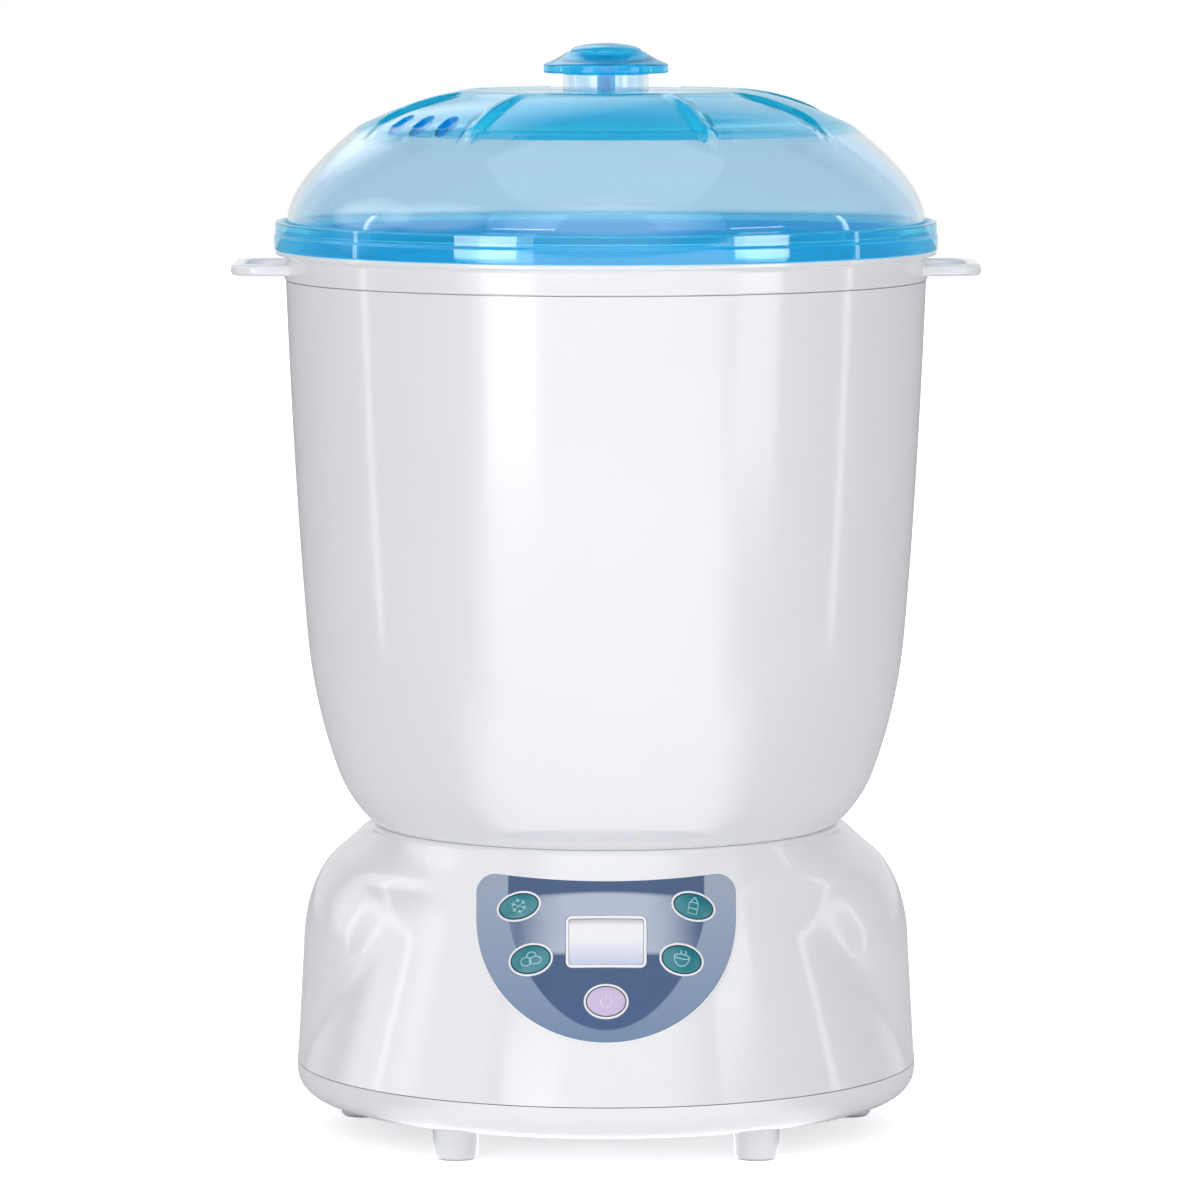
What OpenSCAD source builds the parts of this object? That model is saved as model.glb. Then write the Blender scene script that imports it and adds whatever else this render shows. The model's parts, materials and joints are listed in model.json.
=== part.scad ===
// Electric steam sterilizer for feeding bottles: a lobed base with a control panel and a boiling
// dish, a deep white bowl with two loop handles, and a clear blue domed lid with a mushroom knob.
// The origin is on the floor under the middle. The front faces -Y and +Z is up.

/* [Base] */
// Radius of the base at its seam
base_r = 109; // [106:0.5:113]
// Radius of the neck that the bowl stands on
neck_r = 82.5; // [80:0.5:86]
// Height of the feet under the base
foot_h = 12; // [9:0.5:18]
// Height of the bottom cover, from its floor to the seam
cover_h = 12; // [10:0.5:16]
// Height of the housing, from the seam to the neck
housing_h = 84; // [80:0.5:92]
// Wall of the base's mouldings
base_wall = 2.4; // [2:0.1:3]
// Rounding of the bottom cover's lower edge
cover_edge_r = 9; // [4:0.5:9.5]
// Rounding of the neck's top edge
neck_edge_r = 3; // [1:0.25:4]
// Open line between the housing and the bottom cover
seam_gap = 0.5; // [0.3:0.05:0.8]
// Height of the bottom cover's lip inside the housing
cover_lip_h = 4; // [2:0.5:6]
// Wall of that lip
cover_lip_t = 1.8; // [1.2:0.1:2.4]
// Radius of a foot
foot_r = 8; // [6:0.25:9]
// How far the feet's centres lie inside the base's radius
foot_inset = 21; // [19:0.5:26]
// Angle of the front feet from the front
front_foot_angle = 36; // [30:1:42]
// Angle of the side feet from the front
side_foot_angle = 100; // [92:1:110]
// Radius of a foot's pad
pad_r = 6.4; // [4:0.1:6.6]
// Height of a foot's pad
pad_h = 2.6; // [2:0.1:4]
// How far a pad stands out under its foot
pad_out = 0.6; // [0.4:0.1:1]
// Radius of the spigot that holds a foot in the cover
spigot_r = 5; // [3:0.25:5.5]
// Number of vent slots in the bottom cover
vent_count = 7; // [3:2:9]
// Width of a vent slot
vent_w = 2.5; // [2:0.25:3.5]
// Length of a vent slot
vent_l = 30; // [20:1:40]
// Pitch of the vent slots
vent_pitch = 7; // [5:0.5:8]

/* [Shoulder lobes] */
// Distance of the upper lobes' axes from the middle
upper_axis_x = 23; // [20:0.5:26]
// How far the upper lobes stay inside the base's radius
upper_inset = 11.8; // [11:0.2:13]
// Depth below the neck at which the upper lobes turn upright
upper_drop = 18; // [16:0.5:20]
// Tight radius at the foot of the upper lobes' slope
upper_turn_r = 10; // [7:0.5:12]
// Wide radius of the upper lobes' slope
upper_slope_r = 52; // [46:1:58]
// Angle at which the upper lobes change from tight to wide
upper_turn = 38.4; // [36:0.2:41]
// Step from the neck's top down to the upper lobes
upper_step = 1.5; // [1:0.1:2.5]
// Distance of the side lobes' axes from the middle
side_axis_x = 47; // [44:0.5:50]
// How far the side lobes' upright stays inside the base's radius
side_inset = 2.4; // [2:0.1:3]
// Depth below the neck at which the side lobes turn upright
side_drop = 43.3; // [41:0.5:46]
// Wide radius low on the side lobes
side_low_r = 60; // [54:1:66]
// Tight radius high on the side lobes
side_high_r = 26; // [23:0.5:29]
// Angle at which the side lobes change from wide to tight
side_turn = 20; // [18:0.5:22]
// Depth below the neck of the side lobes' hidden tops
side_top_drop = 7.3; // [7:0.1:9]
// How far the side lobes end inside the base's radius at the seam
side_foot_inset = 0.15; // [0.1:0.05:0.3]

/* [Control panel] */
// Half width of the panel and radius of its round lower edge
panel_r = 44.5; // [43:0.5:46]
// Height of the panel above the centre of its lower edge, in the middle
panel_top = 11.2; // [10.8:0.2:13]
// Radius of the hollow sweep of the panel's upper edge
panel_sweep_r = 180; // [150:5:400]
// Rounding of the panel's upper corners
panel_corner_r = 6; // [5.75:0.25:7]
// Depth of the panel's centre below the neck
panel_drop = 20.5; // [19:0.5:24]
// Depth of the rebate that the panel sits in
panel_rebate = 1.2; // [1:0.1:1.4]
// How far the panel stands out of the housing
panel_proud = 0.3; // [0.2:0.05:0.6]
// Clearance behind the panel in its rebate
panel_seat = 0.1; // [0.05:0.05:0.2]
// Width of the housing's ledge behind the panel's edge
panel_ledge = 4; // [3:0.25:4.5]
// Clearance round the pieces that drop into the panel
panel_gap = 0.15; // [0.1:0.05:0.25]
// Width of the display window
display_w = 25.6; // [23:0.2:27]
// Height of the display window
display_h = 15.9; // [14:0.1:16.5]
// Rounding of the display window's corners
display_corner_r = 1; // [0.5:0.25:2]
// Width of the white frame round the display
display_frame_w = 1.1; // [0.8:0.1:1.3]
// How far the display frame stands out of the panel
display_frame_proud = 0.4; // [0.2:0.05:0.8]
// Depth of the display's centre below the panel's centre
display_drop = 9.75; // [9.5:0.25:10.25]
// Width of a key
key_w = 13.2; // [12:0.2:13.6]
// Height of an upper key
upper_key_h = 8.2; // [7.4:0.2:9]
// Height of a lower key
lower_key_h = 9.2; // [8:0.2:9.8]
// Height of the power key
power_key_h = 10; // [9:0.2:10.6]
// Distance of the upper keys from the panel's middle
upper_key_x = 29.8; // [29:0.2:30.4]
// Height of the upper keys over the panel's centre
upper_key_y = 3.2; // [2.6:0.2:3.6]
// Tilt of the upper keys
upper_key_tilt = 11; // [0:1:14]
// Distance of the lower keys from the panel's middle
lower_key_x = 25.7; // [25.4:0.1:26.4]
// Depth of the lower keys below the panel's centre
lower_key_drop = 15.4; // [15:0.2:16]
// Tilt of the lower keys
lower_key_tilt = 9; // [0:1:14]
// Depth of the power key below the panel's centre
power_key_drop = 30.3; // [30:0.1:30.6]
// How far a key stands out of the panel
key_proud = 0.9; // [0.6:0.1:1.4]
// Clearance round a key in the panel
key_gap = 0.3; // [0.25:0.05:0.4]
// How far a key's flange reaches past its hole
key_flange_w = 1.2; // [0.8:0.1:1.4]
// Thickness of a key's flange
key_flange_t = 1.2; // [0.8:0.1:1.6]
// Clearance between a key's flange and the panel
key_rest_gap = 0.3; // [0.2:0.05:0.4]
// Travel of a key
key_travel = 0.8; // [0.5:0.1:1.2]
// Radius of a key's stem
key_stem_r = 2.2; // [1.5:0.1:2.6]
// Depth of the control board behind the panel's centre
board_depth = 18; // [16:0.5:20]
// How far the control board stays inside the panel's edge
board_inset = 5.5; // [4.5:0.25:6]
// Thickness of both circuit boards
board_t = 1.6; // [1.2:0.2:2]
// Height of a key switch with its plunger
switch_h = 5; // [4.3:0.1:6]

/* [Heating] */
// How far the boiling dish's wall stays inside the neck's radius
dish_inset = 24.5; // [23.5:0.25:27]
// Depth of the boiling dish
dish_depth = 13; // [10:0.5:16]
// Thickness of the dish's sheet
dish_t = 1; // [0.8:0.1:1.2]
// Width of the dish's flange
dish_flange_w = 9.5; // [9:0.25:10]
// Rounding inside the dish's bottom edge
dish_bend_r = 6; // [3:0.5:8]
// Depth of the ledge that carries the dish below the neck
ledge_depth = 3.5; // [3:0.25:4.5]
// Room round the dish's flange in its ledge
ledge_gap = 1.5; // [0.5:0.25:2]
// Room round the dish's wall in the housing
dish_room = 2; // [1.8:0.1:2.6]
// Thickness of the dish's gasket
gasket_t = 1.2; // [0.8:0.1:1.6]
// How far the heat spreader stays inside the dish's wall
spreader_inset = 8; // [7:0.5:12]
// Thickness of the heat spreader
spreader_t = 5; // [3:0.5:6]
// How far the element's ring lies inside the heat spreader's edge
element_inset = 14; // [10:0.5:17]
// Radius of the element's tube
element_tube_r = 3.2; // [2.6:0.1:3.6]
// Half of the open angle between the element's ends
element_gap_angle = 25; // [20:1:30]
// Length of the element's terminal pins
pin_l = 14; // [10:0.5:18]
// Thickness of the dish's bracket
bracket_t = 1; // [0.8:0.1:1.5]
// Height of the bracket's collar round the dish
bracket_h = 7; // [4:0.5:8]
// How far the dish screws lie outside the dish's ledge
dish_screw_out = 2.5; // [2:0.25:3.5]

/* [Power supply] */
// Width of the power board
power_board_w = 84; // [80:1:88]
// Depth of the power board
power_board_d = 66; // [64:1:70]
// Distance of the power board's front edge behind the middle
power_board_y = 6; // [4:0.5:8]
// Height of the posts under the power board
post_h = 5.6; // [4:0.2:8]
// Height of the transformer
transformer_h = 26; // [20:1:30]
// Height of the relay
relay_h = 16; // [12:0.5:20]
// Height of the capacitor
capacitor_h = 18; // [14:0.5:24]
// Height of the terminal block
block_h = 11; // [9:0.5:14]
// Radius of a heater lead
lead_r = 1.6; // [1:0.1:2]
// Height of the mains gland over the seam
gland_rise = 16; // [15:0.5:20]
// Radius of the gland's bore
gland_bore_r = 3.6; // [3:0.1:4]
// Radius of the gland's body
gland_body_r = 5.9; // [5:0.1:7]
// Radius of the gland's flange
gland_flange_r = 8; // [7.5:0.1:10]
// Thickness of the gland's flange
gland_flange_t = 2; // [1.5:0.1:3]
// Length of the gland inside the flange
gland_l = 15; // [12:0.5:18]
// Radius of the flat pad that the gland sits on
gland_pad_r = 11; // [10.5:0.25:13]

/* [Bowl] */
// Outer radius of the bowl at its collar
bowl_r = 112; // [110:0.5:113.5]
// Height of the bowl, from the neck to its rim
bowl_h = 200; // [180:1:230]
// Wall of the bowl
bowl_wall = 2.6; // [2:0.1:3.4]
// Radius of the heel just above the neck
heel_r = 46; // [42:0.5:50]
// Slope of the heel at the neck
heel_from = 47; // [44:0.5:50]
// Slope at which the heel opens into the wide turn
heel_to = 20; // [18:0.5:22]
// Radius of the wide turn above the heel
turn_r = 185; // [175:1:195]
// Slope at the top of the wide turn
turn_to = 5; // [4:0.25:6]
// Share of the side's height over which the wide turn's slope carries on
side_ease = 0.39; // [0.2:0.01:0.6]
// Height of the bowl's foot ring
foot_ring_h = 4; // [3:0.25:6]
// Width of the bowl's foot ring
foot_ring_w = 4.5; // [3:0.25:6]
// Bevel outside the foot ring
foot_bevel = 1.5; // [1:0.1:2]
// Height of that bevel
foot_bevel_h = 1; // [0.6:0.1:1.5]
// Thickness of the bowl's floor
bowl_floor_t = 2.4; // [2:0.1:3]
// Width of the lip round the bowl's bottom opening
lip_w = 2.6; // [2:0.1:3.2]
// Thickness of the seal under that lip
seal_t = 1.5; // [1.2:0.1:2]
// How far the seal reaches past the lip on either side
seal_side = 0.4; // [0.2:0.05:0.8]
// Step in the bowl's rim under the collar
rim_step = 1.4; // [1:0.1:1.8]
// Wall of the bowl's rim inside that step
rim_wall = 3; // [2.5:0.1:3.4]
// Height of the collar's band
band_h = 9.2; // [8.5:0.1:14]
// Line left open under the collar's band
band_gap = 0.3; // [0.2:0.05:0.5]
// How far the collar's band stands out of the bowl
collar_proud = 0.5; // [0.3:0.05:1]
// Clearance between the collar's band and the rim
collar_fit = 0.1; // [0.05:0.05:0.2]
// Thickness of the collar's flange
collar_flange_t = 1.6; // [1.2:0.1:2.4]
// How far the collar's flange reaches inside the rim
collar_inside = 1.1; // [0.5:0.1:1.5]
// How far the collar's flange stays inside the lid's edge
collar_under = 0.5; // [0.3:0.1:1.5]
// How far a handle reaches out of the collar's band
handle_out = 18.2; // [15:0.2:24]
// Width of a handle
handle_w = 47; // [42:0.5:60]
// Width of a handle's bar
handle_bar = 4.6; // [3.5:0.1:6]
// Height of a handle's bar
handle_t = 4.2; // [3:0.1:5]
// Outer corner radius of a handle
handle_corner_r = 11; // [7:0.5:13]
// Depth of the handles' middle below the bowl's rim
handle_drop = 5; // [4:0.1:5.5]

/* [Rack and tray] */
// How far the rack's plate stays inside the neck's radius
rack_inset = 1; // [0.5:0.25:3]
// Height of the rack's foot ring
rack_foot_h = 3; // [2:0.25:5]
// Thickness of the rack's plate
rack_t = 2.4; // [2:0.1:3.2]
// Number of bottle wells
well_count = 6; // [4:1:6]
// How far the wells stay inside the rack's edge
well_inset = 4; // [3:0.25:5]
// Outer radius of a well's ring
well_r = 24.5; // [20:0.5:25]
// Wall of a well's ring
well_t = 1.6; // [1.2:0.1:2]
// Height of a well's ring
well_h = 2; // [1:0.25:3]
// Number of prongs in a well
prong_count = 3; // [3:1:4]
// Distance of the prongs from their well's middle
prong_circle_r = 11; // [9:0.5:13]
// Radius of a prong
prong_r = 2.2; // [1.8:0.1:3]
// Height of a prong up to its round tip
prong_h = 20; // [12:0.5:30]
// Radius of the drain hole in a well
drain_r = 5; // [3:0.5:6]
// Number of drain slots in a well
drain_count = 6; // [3:1:8]
// Width of a drain slot
drain_w = 3; // [2:0.25:4]
// Length of a drain slot
drain_l = 6; // [5:0.5:7]
// Distance of the drain slots from their well's middle
drain_circle_r = 18; // [17.5:0.25:18.5]
// Radius of the foot of the rack's post
post_foot_r = 13; // [11:0.5:16]
// Height of that foot
post_foot_h = 4; // [2:0.5:6]
// Radius of the plug under the post
post_plug_r = 6; // [4:0.25:8]
// Clearance round that plug
plug_fit = 0.1; // [0.05:0.05:0.2]
// Radius of the rack's post above its foot
post_low_r = 9; // [8:0.25:10]
// Radius of the rack's post at its shoulder
post_top_r = 7.5; // [7:0.25:9]
// Height of the rack's post up to its shoulder
post_rise = 132; // [110:1:140]
// Radius of the post's spigot
post_spigot_r = 5; // [4:0.25:6]
// Height of the post's spigot
post_spigot_h = 12; // [8:0.5:16]
// Outer radius of the accessory tray's wall
tray_r = 90; // [80:0.5:96]
// Height of the accessory tray
tray_h = 17; // [12:0.5:22]
// Wall of the accessory tray
tray_t = 2; // [1.6:0.1:2.6]
// Width of the tray's turned rim
tray_rim_w = 3; // [2:0.25:5]
// Radius of the tray's hub
hub_r = 11; // [9:0.25:13]
// Height of the tray's hub
hub_h = 9; // [6:0.5:11]
// Clearance between the hub and the spigot
hub_fit = 0.4; // [0.3:0.05:0.6]
// Number of slots in the tray's floor
tray_slot_count = 16; // [8:1:20]
// Width of a slot in the tray's floor
tray_slot_w = 4; // [3:0.25:5]
// Inner radius of those slots
tray_slot_in = 34; // [30:0.5:40]
// Outer radius of those slots
tray_slot_out = 74; // [60:0.5:78]

/* [Lid] */
// How far the lid's rim reaches past the bowl's radius
lid_over = 4; // [3.5:0.25:6]
// Height of the lid's rim
lid_rim_h = 9.8; // [8:0.2:14]
// Wall of the lid
lid_wall = 2.2; // [1.8:0.1:2.6]
// How far the dome's foot lies inside the rim's edge
dome_in = 4.6; // [4:0.1:5.5]
// How far the crease, where the dome's side meets its crown, lies inside the dome's foot
crease_in = 24.9; // [23:0.1:27]
// Height of that crease above the rim
crease_rise = 33; // [31:0.5:36]
// Slope of the dome's side at the crease
side_slope = 38; // [36:0.5:42]
// Slope of the crown at the crease
crown_slope = 26; // [24:0.5:30]
// Height of the flat top above the crease
crown_rise = 12.5; // [12:0.25:14]
// Radius of the flat top
plateau_r = 45; // [36:0.5:46]
// Bevel of the rim's upper edge
rim_bevel = 0.9; // [0.5:0.1:1.2]
// Width of the raised line along the rim's edge
rim_lip_w = 1.4; // [1:0.1:1.8]
// Depth of the groove inside that line
rim_groove = 0.9; // [0.5:0.1:1.2]
// Clearance between the lid's rim and its seat
seat_gap = 0.05; // [0.02:0.01:0.2]
// Clearance between the lid's skirt and the collar
skirt_fit = 0.5; // [0.35:0.05:0.8]
// Wall of the lid's skirt
skirt_t = 1.8; // [1.4:0.1:2.2]
// Depth of the skirt below the lid's seat
skirt_h = 5.6; // [4:0.2:8]
// Radius at which the wings leave the flat top
wing_start_r = 50; // [48:0.5:52]
// How far a wing's fall runs past the crease
wing_past = 4.5; // [3:0.25:5]
// Depth of a wing's fall
wing_depth = 20; // [18:0.5:22]
// Half angle of a wing
wing_half = 18.5; // [16:0.5:21]
// Turn of the lid on the bowl
lid_turn = -4.3; // [-45:0.1:45]
// Angle between neighbouring steam vents
steam_step = 8.5; // [7.5:0.25:9]
// How far the steam vents lie inside the crease
steam_in = 4; // [2.5:0.25:6]
// Length of a steam vent
steam_l = 8.5; // [7:0.5:11]
// Width of a steam vent
steam_w = 5.5; // [4:0.25:6.5]

/* [Knob] */
// Radius of the knob's cap
knob_r = 21.8; // [19:0.2:25]
// Radius of the knob's stem
knob_stem_r = 14.9; // [12.5:0.1:16]
// Height of the stem up to the cap
knob_stem_h = 6; // [4:0.25:10]
// Height of the cap's edge
knob_edge_h = 3.4; // [2.5:0.1:5]
// Bevel of the cap's edge
knob_bevel = 0.8; // [0.3:0.1:1.2]
// Radius of the button on the cap
knob_button_r = 13.4; // [12:0.1:15]
// Height of the hollow flare between the edge and the button
knob_flare_h = 4; // [3.5:0.1:6]
// Crown of the button
knob_crown_h = 3; // [2:0.1:4]
// Wall of the knob
knob_wall = 2; // [1.6:0.1:2.4]
// Radius of the knob's screw post
knob_post_r = 3.2; // [2.6:0.1:4]
// Length of the knob's screw
knob_screw_l = 9; // [7:0.5:10]

/* [Screws] */
// Radius of a self-tapping screw's shank
screw_r = 1.5; // [1.2:0.05:1.7]
// Radius of a self-tapping screw's head
screw_head_r = 3.2; // [2.8:0.1:3.6]
// Height of a self-tapping screw's head
screw_head_h = 2.2; // [1.6:0.1:2.6]
// Clearance round a screw
screw_gap = 0.05; // [0.02:0.01:0.1]
// Wall of a screw's boss
boss_t = 3; // [2.4:0.1:3.4]
// How far the cover screws lie inside the base's radius
cover_screw_inset = 24; // [22:0.5:26]
// Angle of the front cover screws from the front
front_screw_angle = 68; // [64:1:72]
// Angle of the back cover screws from the front
back_screw_angle = 140; // [136:1:144]

/* [Hidden] */
$fn = 96;

white = "#f2f1f5";
clear_blue = [0.11, 0.58, 0.82, 0.55];
panel_blue = "#51688e";
key_teal = "#0e7f8c";
key_lilac = "#cbc0df";
steel = "#c4c6c8";
board_green = "#2f6b46";
dark_plastic = "#3a3d42";
silicone = "#d9d9dc";
window_clear = [0.85, 0.87, 0.95, 0.6];
cast_metal = "#b9bcc0";
oxide_grey = "#7d7f82";
fuse_tan = "#d8c79a";
relay_blue = "#2b5f93";
cream = "#e4e2da";
lead_red = "#a13a32";

// An overlap or overrun that keeps cuts and joins clean
bite = 0.4;
// Length that reaches through any wall it is cut from
through = 60;

// Levels, from the floor up
z_cover = foot_h;
z_inside = z_cover + base_wall;
z_seam = z_cover + cover_h;
z_neck = z_seam + housing_h;
z_ledge = z_neck - ledge_depth;
z_roof = z_ledge - base_wall;
z_post = z_inside + post_h;
z_board_top = z_post + board_t;
z_dish_flange = z_ledge + gasket_t;
z_dish_top = z_dish_flange + dish_t;
z_dish = z_dish_top - dish_depth;
z_spreader = z_dish - dish_t - spreader_t;
element_gap = 0.05;
z_element = z_spreader - element_gap - element_tube_r;
z_lip = z_dish_top + seal_t;
z_bowl_floor = z_neck + foot_ring_h + bowl_floor_t;
z_rim = z_neck + bowl_h;
z_band = z_rim - band_h;
z_seat = z_rim + collar_flange_t;
z_rack = z_bowl_floor + rack_foot_h;
z_rack_top = z_rack + rack_t;
z_tray = z_rack_top + post_rise;
z_dome = z_seat + lid_rim_h;
z_crease = z_dome + crease_rise;
z_lid_top = z_crease + crown_rise;
z_wing = z_lid_top - wing_depth;

// The lid's wings, the first of them at the vents
wing_count = 4;
wing_angle = 45;

// Radii that mating pieces share
dish_r = neck_r - dish_inset;
dish_out_r = dish_r + dish_t;
dish_flange_r = dish_out_r + dish_flange_w;
ledge_r = dish_flange_r + ledge_gap;
dish_screw_circle_r = ledge_r + dish_screw_out;
bracket_r = dish_screw_circle_r + screw_head_r + bracket_t;
spreader_r = dish_r - spreader_inset;
element_r = spreader_r - element_inset;
dish_hole_r = dish_out_r + dish_room;
lip_mid_r = dish_out_r + dish_flange_w / 2;
rim_out_r = bowl_r - rim_step;
rim_in_r = rim_out_r - rim_wall;
collar_in_r = rim_in_r - collar_inside;
collar_r = bowl_r + collar_proud;
skirt_r = collar_in_r - skirt_fit;
lid_r = bowl_r + lid_over;
dome_r = lid_r - dome_in;
crease_r = dome_r - crease_in;
wing_run = crease_r + wing_past - wing_start_r;
steam_circle_r = crease_r - steam_in;
foot_circle_r = base_r - foot_inset;
cover_screw_circle_r = base_r - cover_screw_inset;
rack_r = neck_r - rack_inset;
well_circle_r = rack_r - well_inset - well_r;
boss_r = screw_r + boss_t;
hole_r = screw_r + screw_gap;

// Lengths of the screws and the depth of their counterbores
dish_screw_l = 5;
cover_screw_l = 20;
counterbore_h = 3;

// Front slope of the housing, in which the control panel lies
tilt = atan((base_r - neck_r) / housing_h);
panel_z = z_neck - panel_drop;
function cone_r(z) = neck_r + (base_r - neck_r) * (z_neck - z) / housing_h;
function panel_point(u, v, w) = [
    u,
    -cone_r(panel_z) + v * sin(tilt) - w * cos(tilt),
    panel_z + v * cos(tilt) + w * sin(tilt)
];
flange_back = panel_rebate + key_rest_gap + key_flange_t;
switch_top = -board_depth + switch_h;
stem_foot = switch_top + key_travel + screw_gap;

// Places on the panel: x, y and tilt
upper_left = [-upper_key_x, upper_key_y, upper_key_tilt];
upper_right = [upper_key_x, upper_key_y, -upper_key_tilt];
lower_left = [-lower_key_x, -lower_key_drop, lower_key_tilt];
lower_right = [lower_key_x, -lower_key_drop, -lower_key_tilt];
power_place = [0, -power_key_drop, 0];
key_places = [upper_left, upper_right, lower_left, lower_right, power_place];
key_heights = [upper_key_h, upper_key_h, lower_key_h, lower_key_h, power_key_h];
panel_screw_x = 16;
panel_screw_drop = 33;
panel_boss_r = 3;
panel_boss_room = 0.3;
panel_screw_ys = [panel_top - panel_ledge - panel_boss_r - panel_boss_room, -panel_screw_drop];
panel_screw_places = [for (x = [-panel_screw_x, panel_screw_x], y = panel_screw_ys) [x, y]];
panel_screw_r = 1.2;
panel_screw_l = 6;

// Angles from the front, turning to the left
foot_angles = [front_foot_angle, -front_foot_angle, side_foot_angle, -side_foot_angle, 180];
cover_screw_angles = [front_screw_angle, -front_screw_angle, back_screw_angle, -back_screw_angle];
dish_screw_angles = [30, 150, 270];

// Places on the power board
post_inset = 4;
post_wall = 2;
board_post_r = screw_r + post_wall;
post_xs = [-power_board_w / 2 + post_inset, power_board_w / 2 - post_inset];
post_ys = [power_board_y + post_inset, power_board_y + power_board_d - post_inset];
pin_x = element_r * sin(element_gap_angle);
pin_y = element_r * cos(element_gap_angle);
pin_r = 2.4;
block_margin = 7;
block_w = 2 * (pin_x + block_margin);
block_d = 11;
back_row_y = 55;
gland_z = z_seam + gland_rise;
gland_y = cone_r(gland_z - gland_pad_r) + screw_gap;

function arc(centre, r, from, to, steps = 12, first = 0) = [
    for (i = [first:steps])
        let (a = from + (to - from) * i / steps)
        centre + r * [cos(a), sin(a)]
];

function oval_arc(centre, half_w, half_h, from, to, steps = 20) = [
    for (i = [0:steps])
        let (a = from + (to - from) * i / steps)
        centre + [half_w * cos(a), half_h * sin(a)]
];

function bend(a, b, c, steps = 16) = [
    for (i = [1:steps])
        let (t = i / steps)
        a * (1 - t) * (1 - t) + b * 2 * t * (1 - t) + c * t * t
];

function reverse(points) = [for (i = [len(points) - 1:-1:0]) points[i]];

module at_angle(r, angle) {
    rotate([0, 0, -angle]) translate([0, -r, 0]) children();
}

module revolve(points) {
    rotate_extrude() polygon(points);
}

module tube(r, hole, z, h) {
    translate([0, 0, z]) difference() {
        cylinder(r = r, h = h);
        translate([0, 0, -bite]) cylinder(r = hole, h = h + 2 * bite);
    }
}

module block(size_x, size_y, size_z) {
    translate([-size_x / 2, -size_y / 2, 0]) cube([size_x, size_y, size_z]);
}

module round_rect(w, h, r) {
    square([w - 2 * r, h], center = true);
    square([w, h - 2 * r], center = true);
    for (x = [-w / 2 + r, w / 2 - r], y = [-h / 2 + r, h / 2 - r])
        translate([x, y]) circle(r = r);
}

module slot(l, w) {
    square([l - w, w], center = true);
    for (x = [-(l - w) / 2, (l - w) / 2]) translate([x, 0]) circle(d = w);
}

// A screw whose head lies under z and whose shank runs up from it
module screw(shank_r, head_r, head_h, l) {
    translate([0, 0, -head_h]) cylinder(r = head_r, h = head_h);
    cylinder(r = shank_r, h = l);
}

// Base

// Profile of a lobe from where it stands upright to its top: a lower arc, then an upper one
function shoulder(reach, z_reach, low_r, high_r, turn, z_end) =
    let (
        low_c = [reach - low_r, z_reach],
        high_c = low_c + (low_r - high_r) * [cos(turn), sin(turn)],
        last = asin((z_end - high_c.y) / high_r)
    )
    concat(arc(low_c, low_r, 0, turn, 6), arc(high_c, high_r, turn, last, 10, 1));

module lobe_pair(axis_x, foot, z_low, outline) {
    local = [for (p = outline) [p.x - axis_x, p.y]];
    top = outline[len(outline) - 1].y;
    for (x = [-axis_x, axis_x])
        translate([x, 0, 0])
            revolve(concat([[0, z_low], [foot - axis_x, z_low]], local, [[0, top]]));
}

// The lobes on both sides, drawn in by a wall
module lobes(inset, z_low, upper_top, side_top) {
    upper = shoulder(base_r - upper_inset - inset, z_neck - upper_drop,
        upper_turn_r - inset, upper_slope_r - inset, upper_turn, upper_top);
    side = shoulder(base_r - side_inset - inset, z_neck - side_drop,
        side_low_r - inset, side_high_r - inset, side_turn, side_top);
    lobe_pair(upper_axis_x, base_r - upper_inset - inset, z_low, upper);
    lobe_pair(side_axis_x, base_r - side_foot_inset - inset, z_low, side);
}

module base_form() {
    z_low = z_seam + seam_gap / 2;
    z_round = z_neck - neck_edge_r;
    edge_x = cone_r(z_round + neck_edge_r * sin(tilt)) - neck_edge_r * cos(tilt);
    edge = arc([edge_x, z_round], neck_edge_r, tilt, 90, 6);
    revolve(concat([[0, z_low], [cone_r(z_low), z_low]], edge, [[0, z_neck]]));
    lobes(0, z_low, z_neck - upper_step, z_neck - side_top_drop);
}

module base_hollow() {
    z_low = z_seam - bite;
    revolve([
        [0, z_low],
        [cone_r(z_low) - base_wall, z_low],
        [cone_r(z_roof) - base_wall, z_roof],
        [0, z_roof]
    ]);
    lobes(base_wall, z_low, z_roof, z_neck - side_top_drop - base_wall);
}

// Everything inside the front cone, pushed out or in
module cone_fill(out) {
    revolve([
        [0, z_seam],
        [cone_r(z_seam) + out, z_seam],
        [cone_r(z_neck) + out, z_neck],
        [0, z_neck]
    ]);
}

// A skin along the front cone between two depths
module cone_band(in, out) {
    revolve([
        [cone_r(z_seam) - in, z_seam],
        [cone_r(z_seam) + out, z_seam],
        [cone_r(z_neck) + out, z_neck],
        [cone_r(z_neck) - in, z_neck]
    ]);
}

module on_panel() {
    translate(panel_point(0, 0, 0)) rotate([90 - tilt, 0, 0]) children();
}

module through_panel() {
    on_panel() translate([0, 0, -through / 2]) linear_extrude(through) children();
}

// Right corner of the panel's outline and its upper edge, drawn in
function panel_upper(inset) =
    let (
        side = panel_r - panel_corner_r,
        corner_reach = panel_sweep_r + panel_corner_r,
        sweep_c = [0, panel_top + panel_sweep_r],
        corner_c = [side, sweep_c.y - sqrt(corner_reach * corner_reach - side * side)],
        lean = asin(side / corner_reach),
        right = arc(corner_c, max(panel_corner_r - inset, bite), 0, 90 + lean, 10),
        last = lean * 11 / 12,
        sweep = arc(sweep_c, panel_sweep_r + inset, 270 + last, 270 - last, 22)
    )
    concat(right, sweep, [for (p = reverse(right)) [-p.x, p.y]]);

module panel_outline(inset) {
    half = panel_r - inset;
    intersection() {
        circle(r = half);
        translate([-panel_r, -panel_r]) square([2 * panel_r, panel_r]);
    }
    polygon(concat([[-half, -bite], [half, -bite]], panel_upper(inset)));
}

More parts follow.
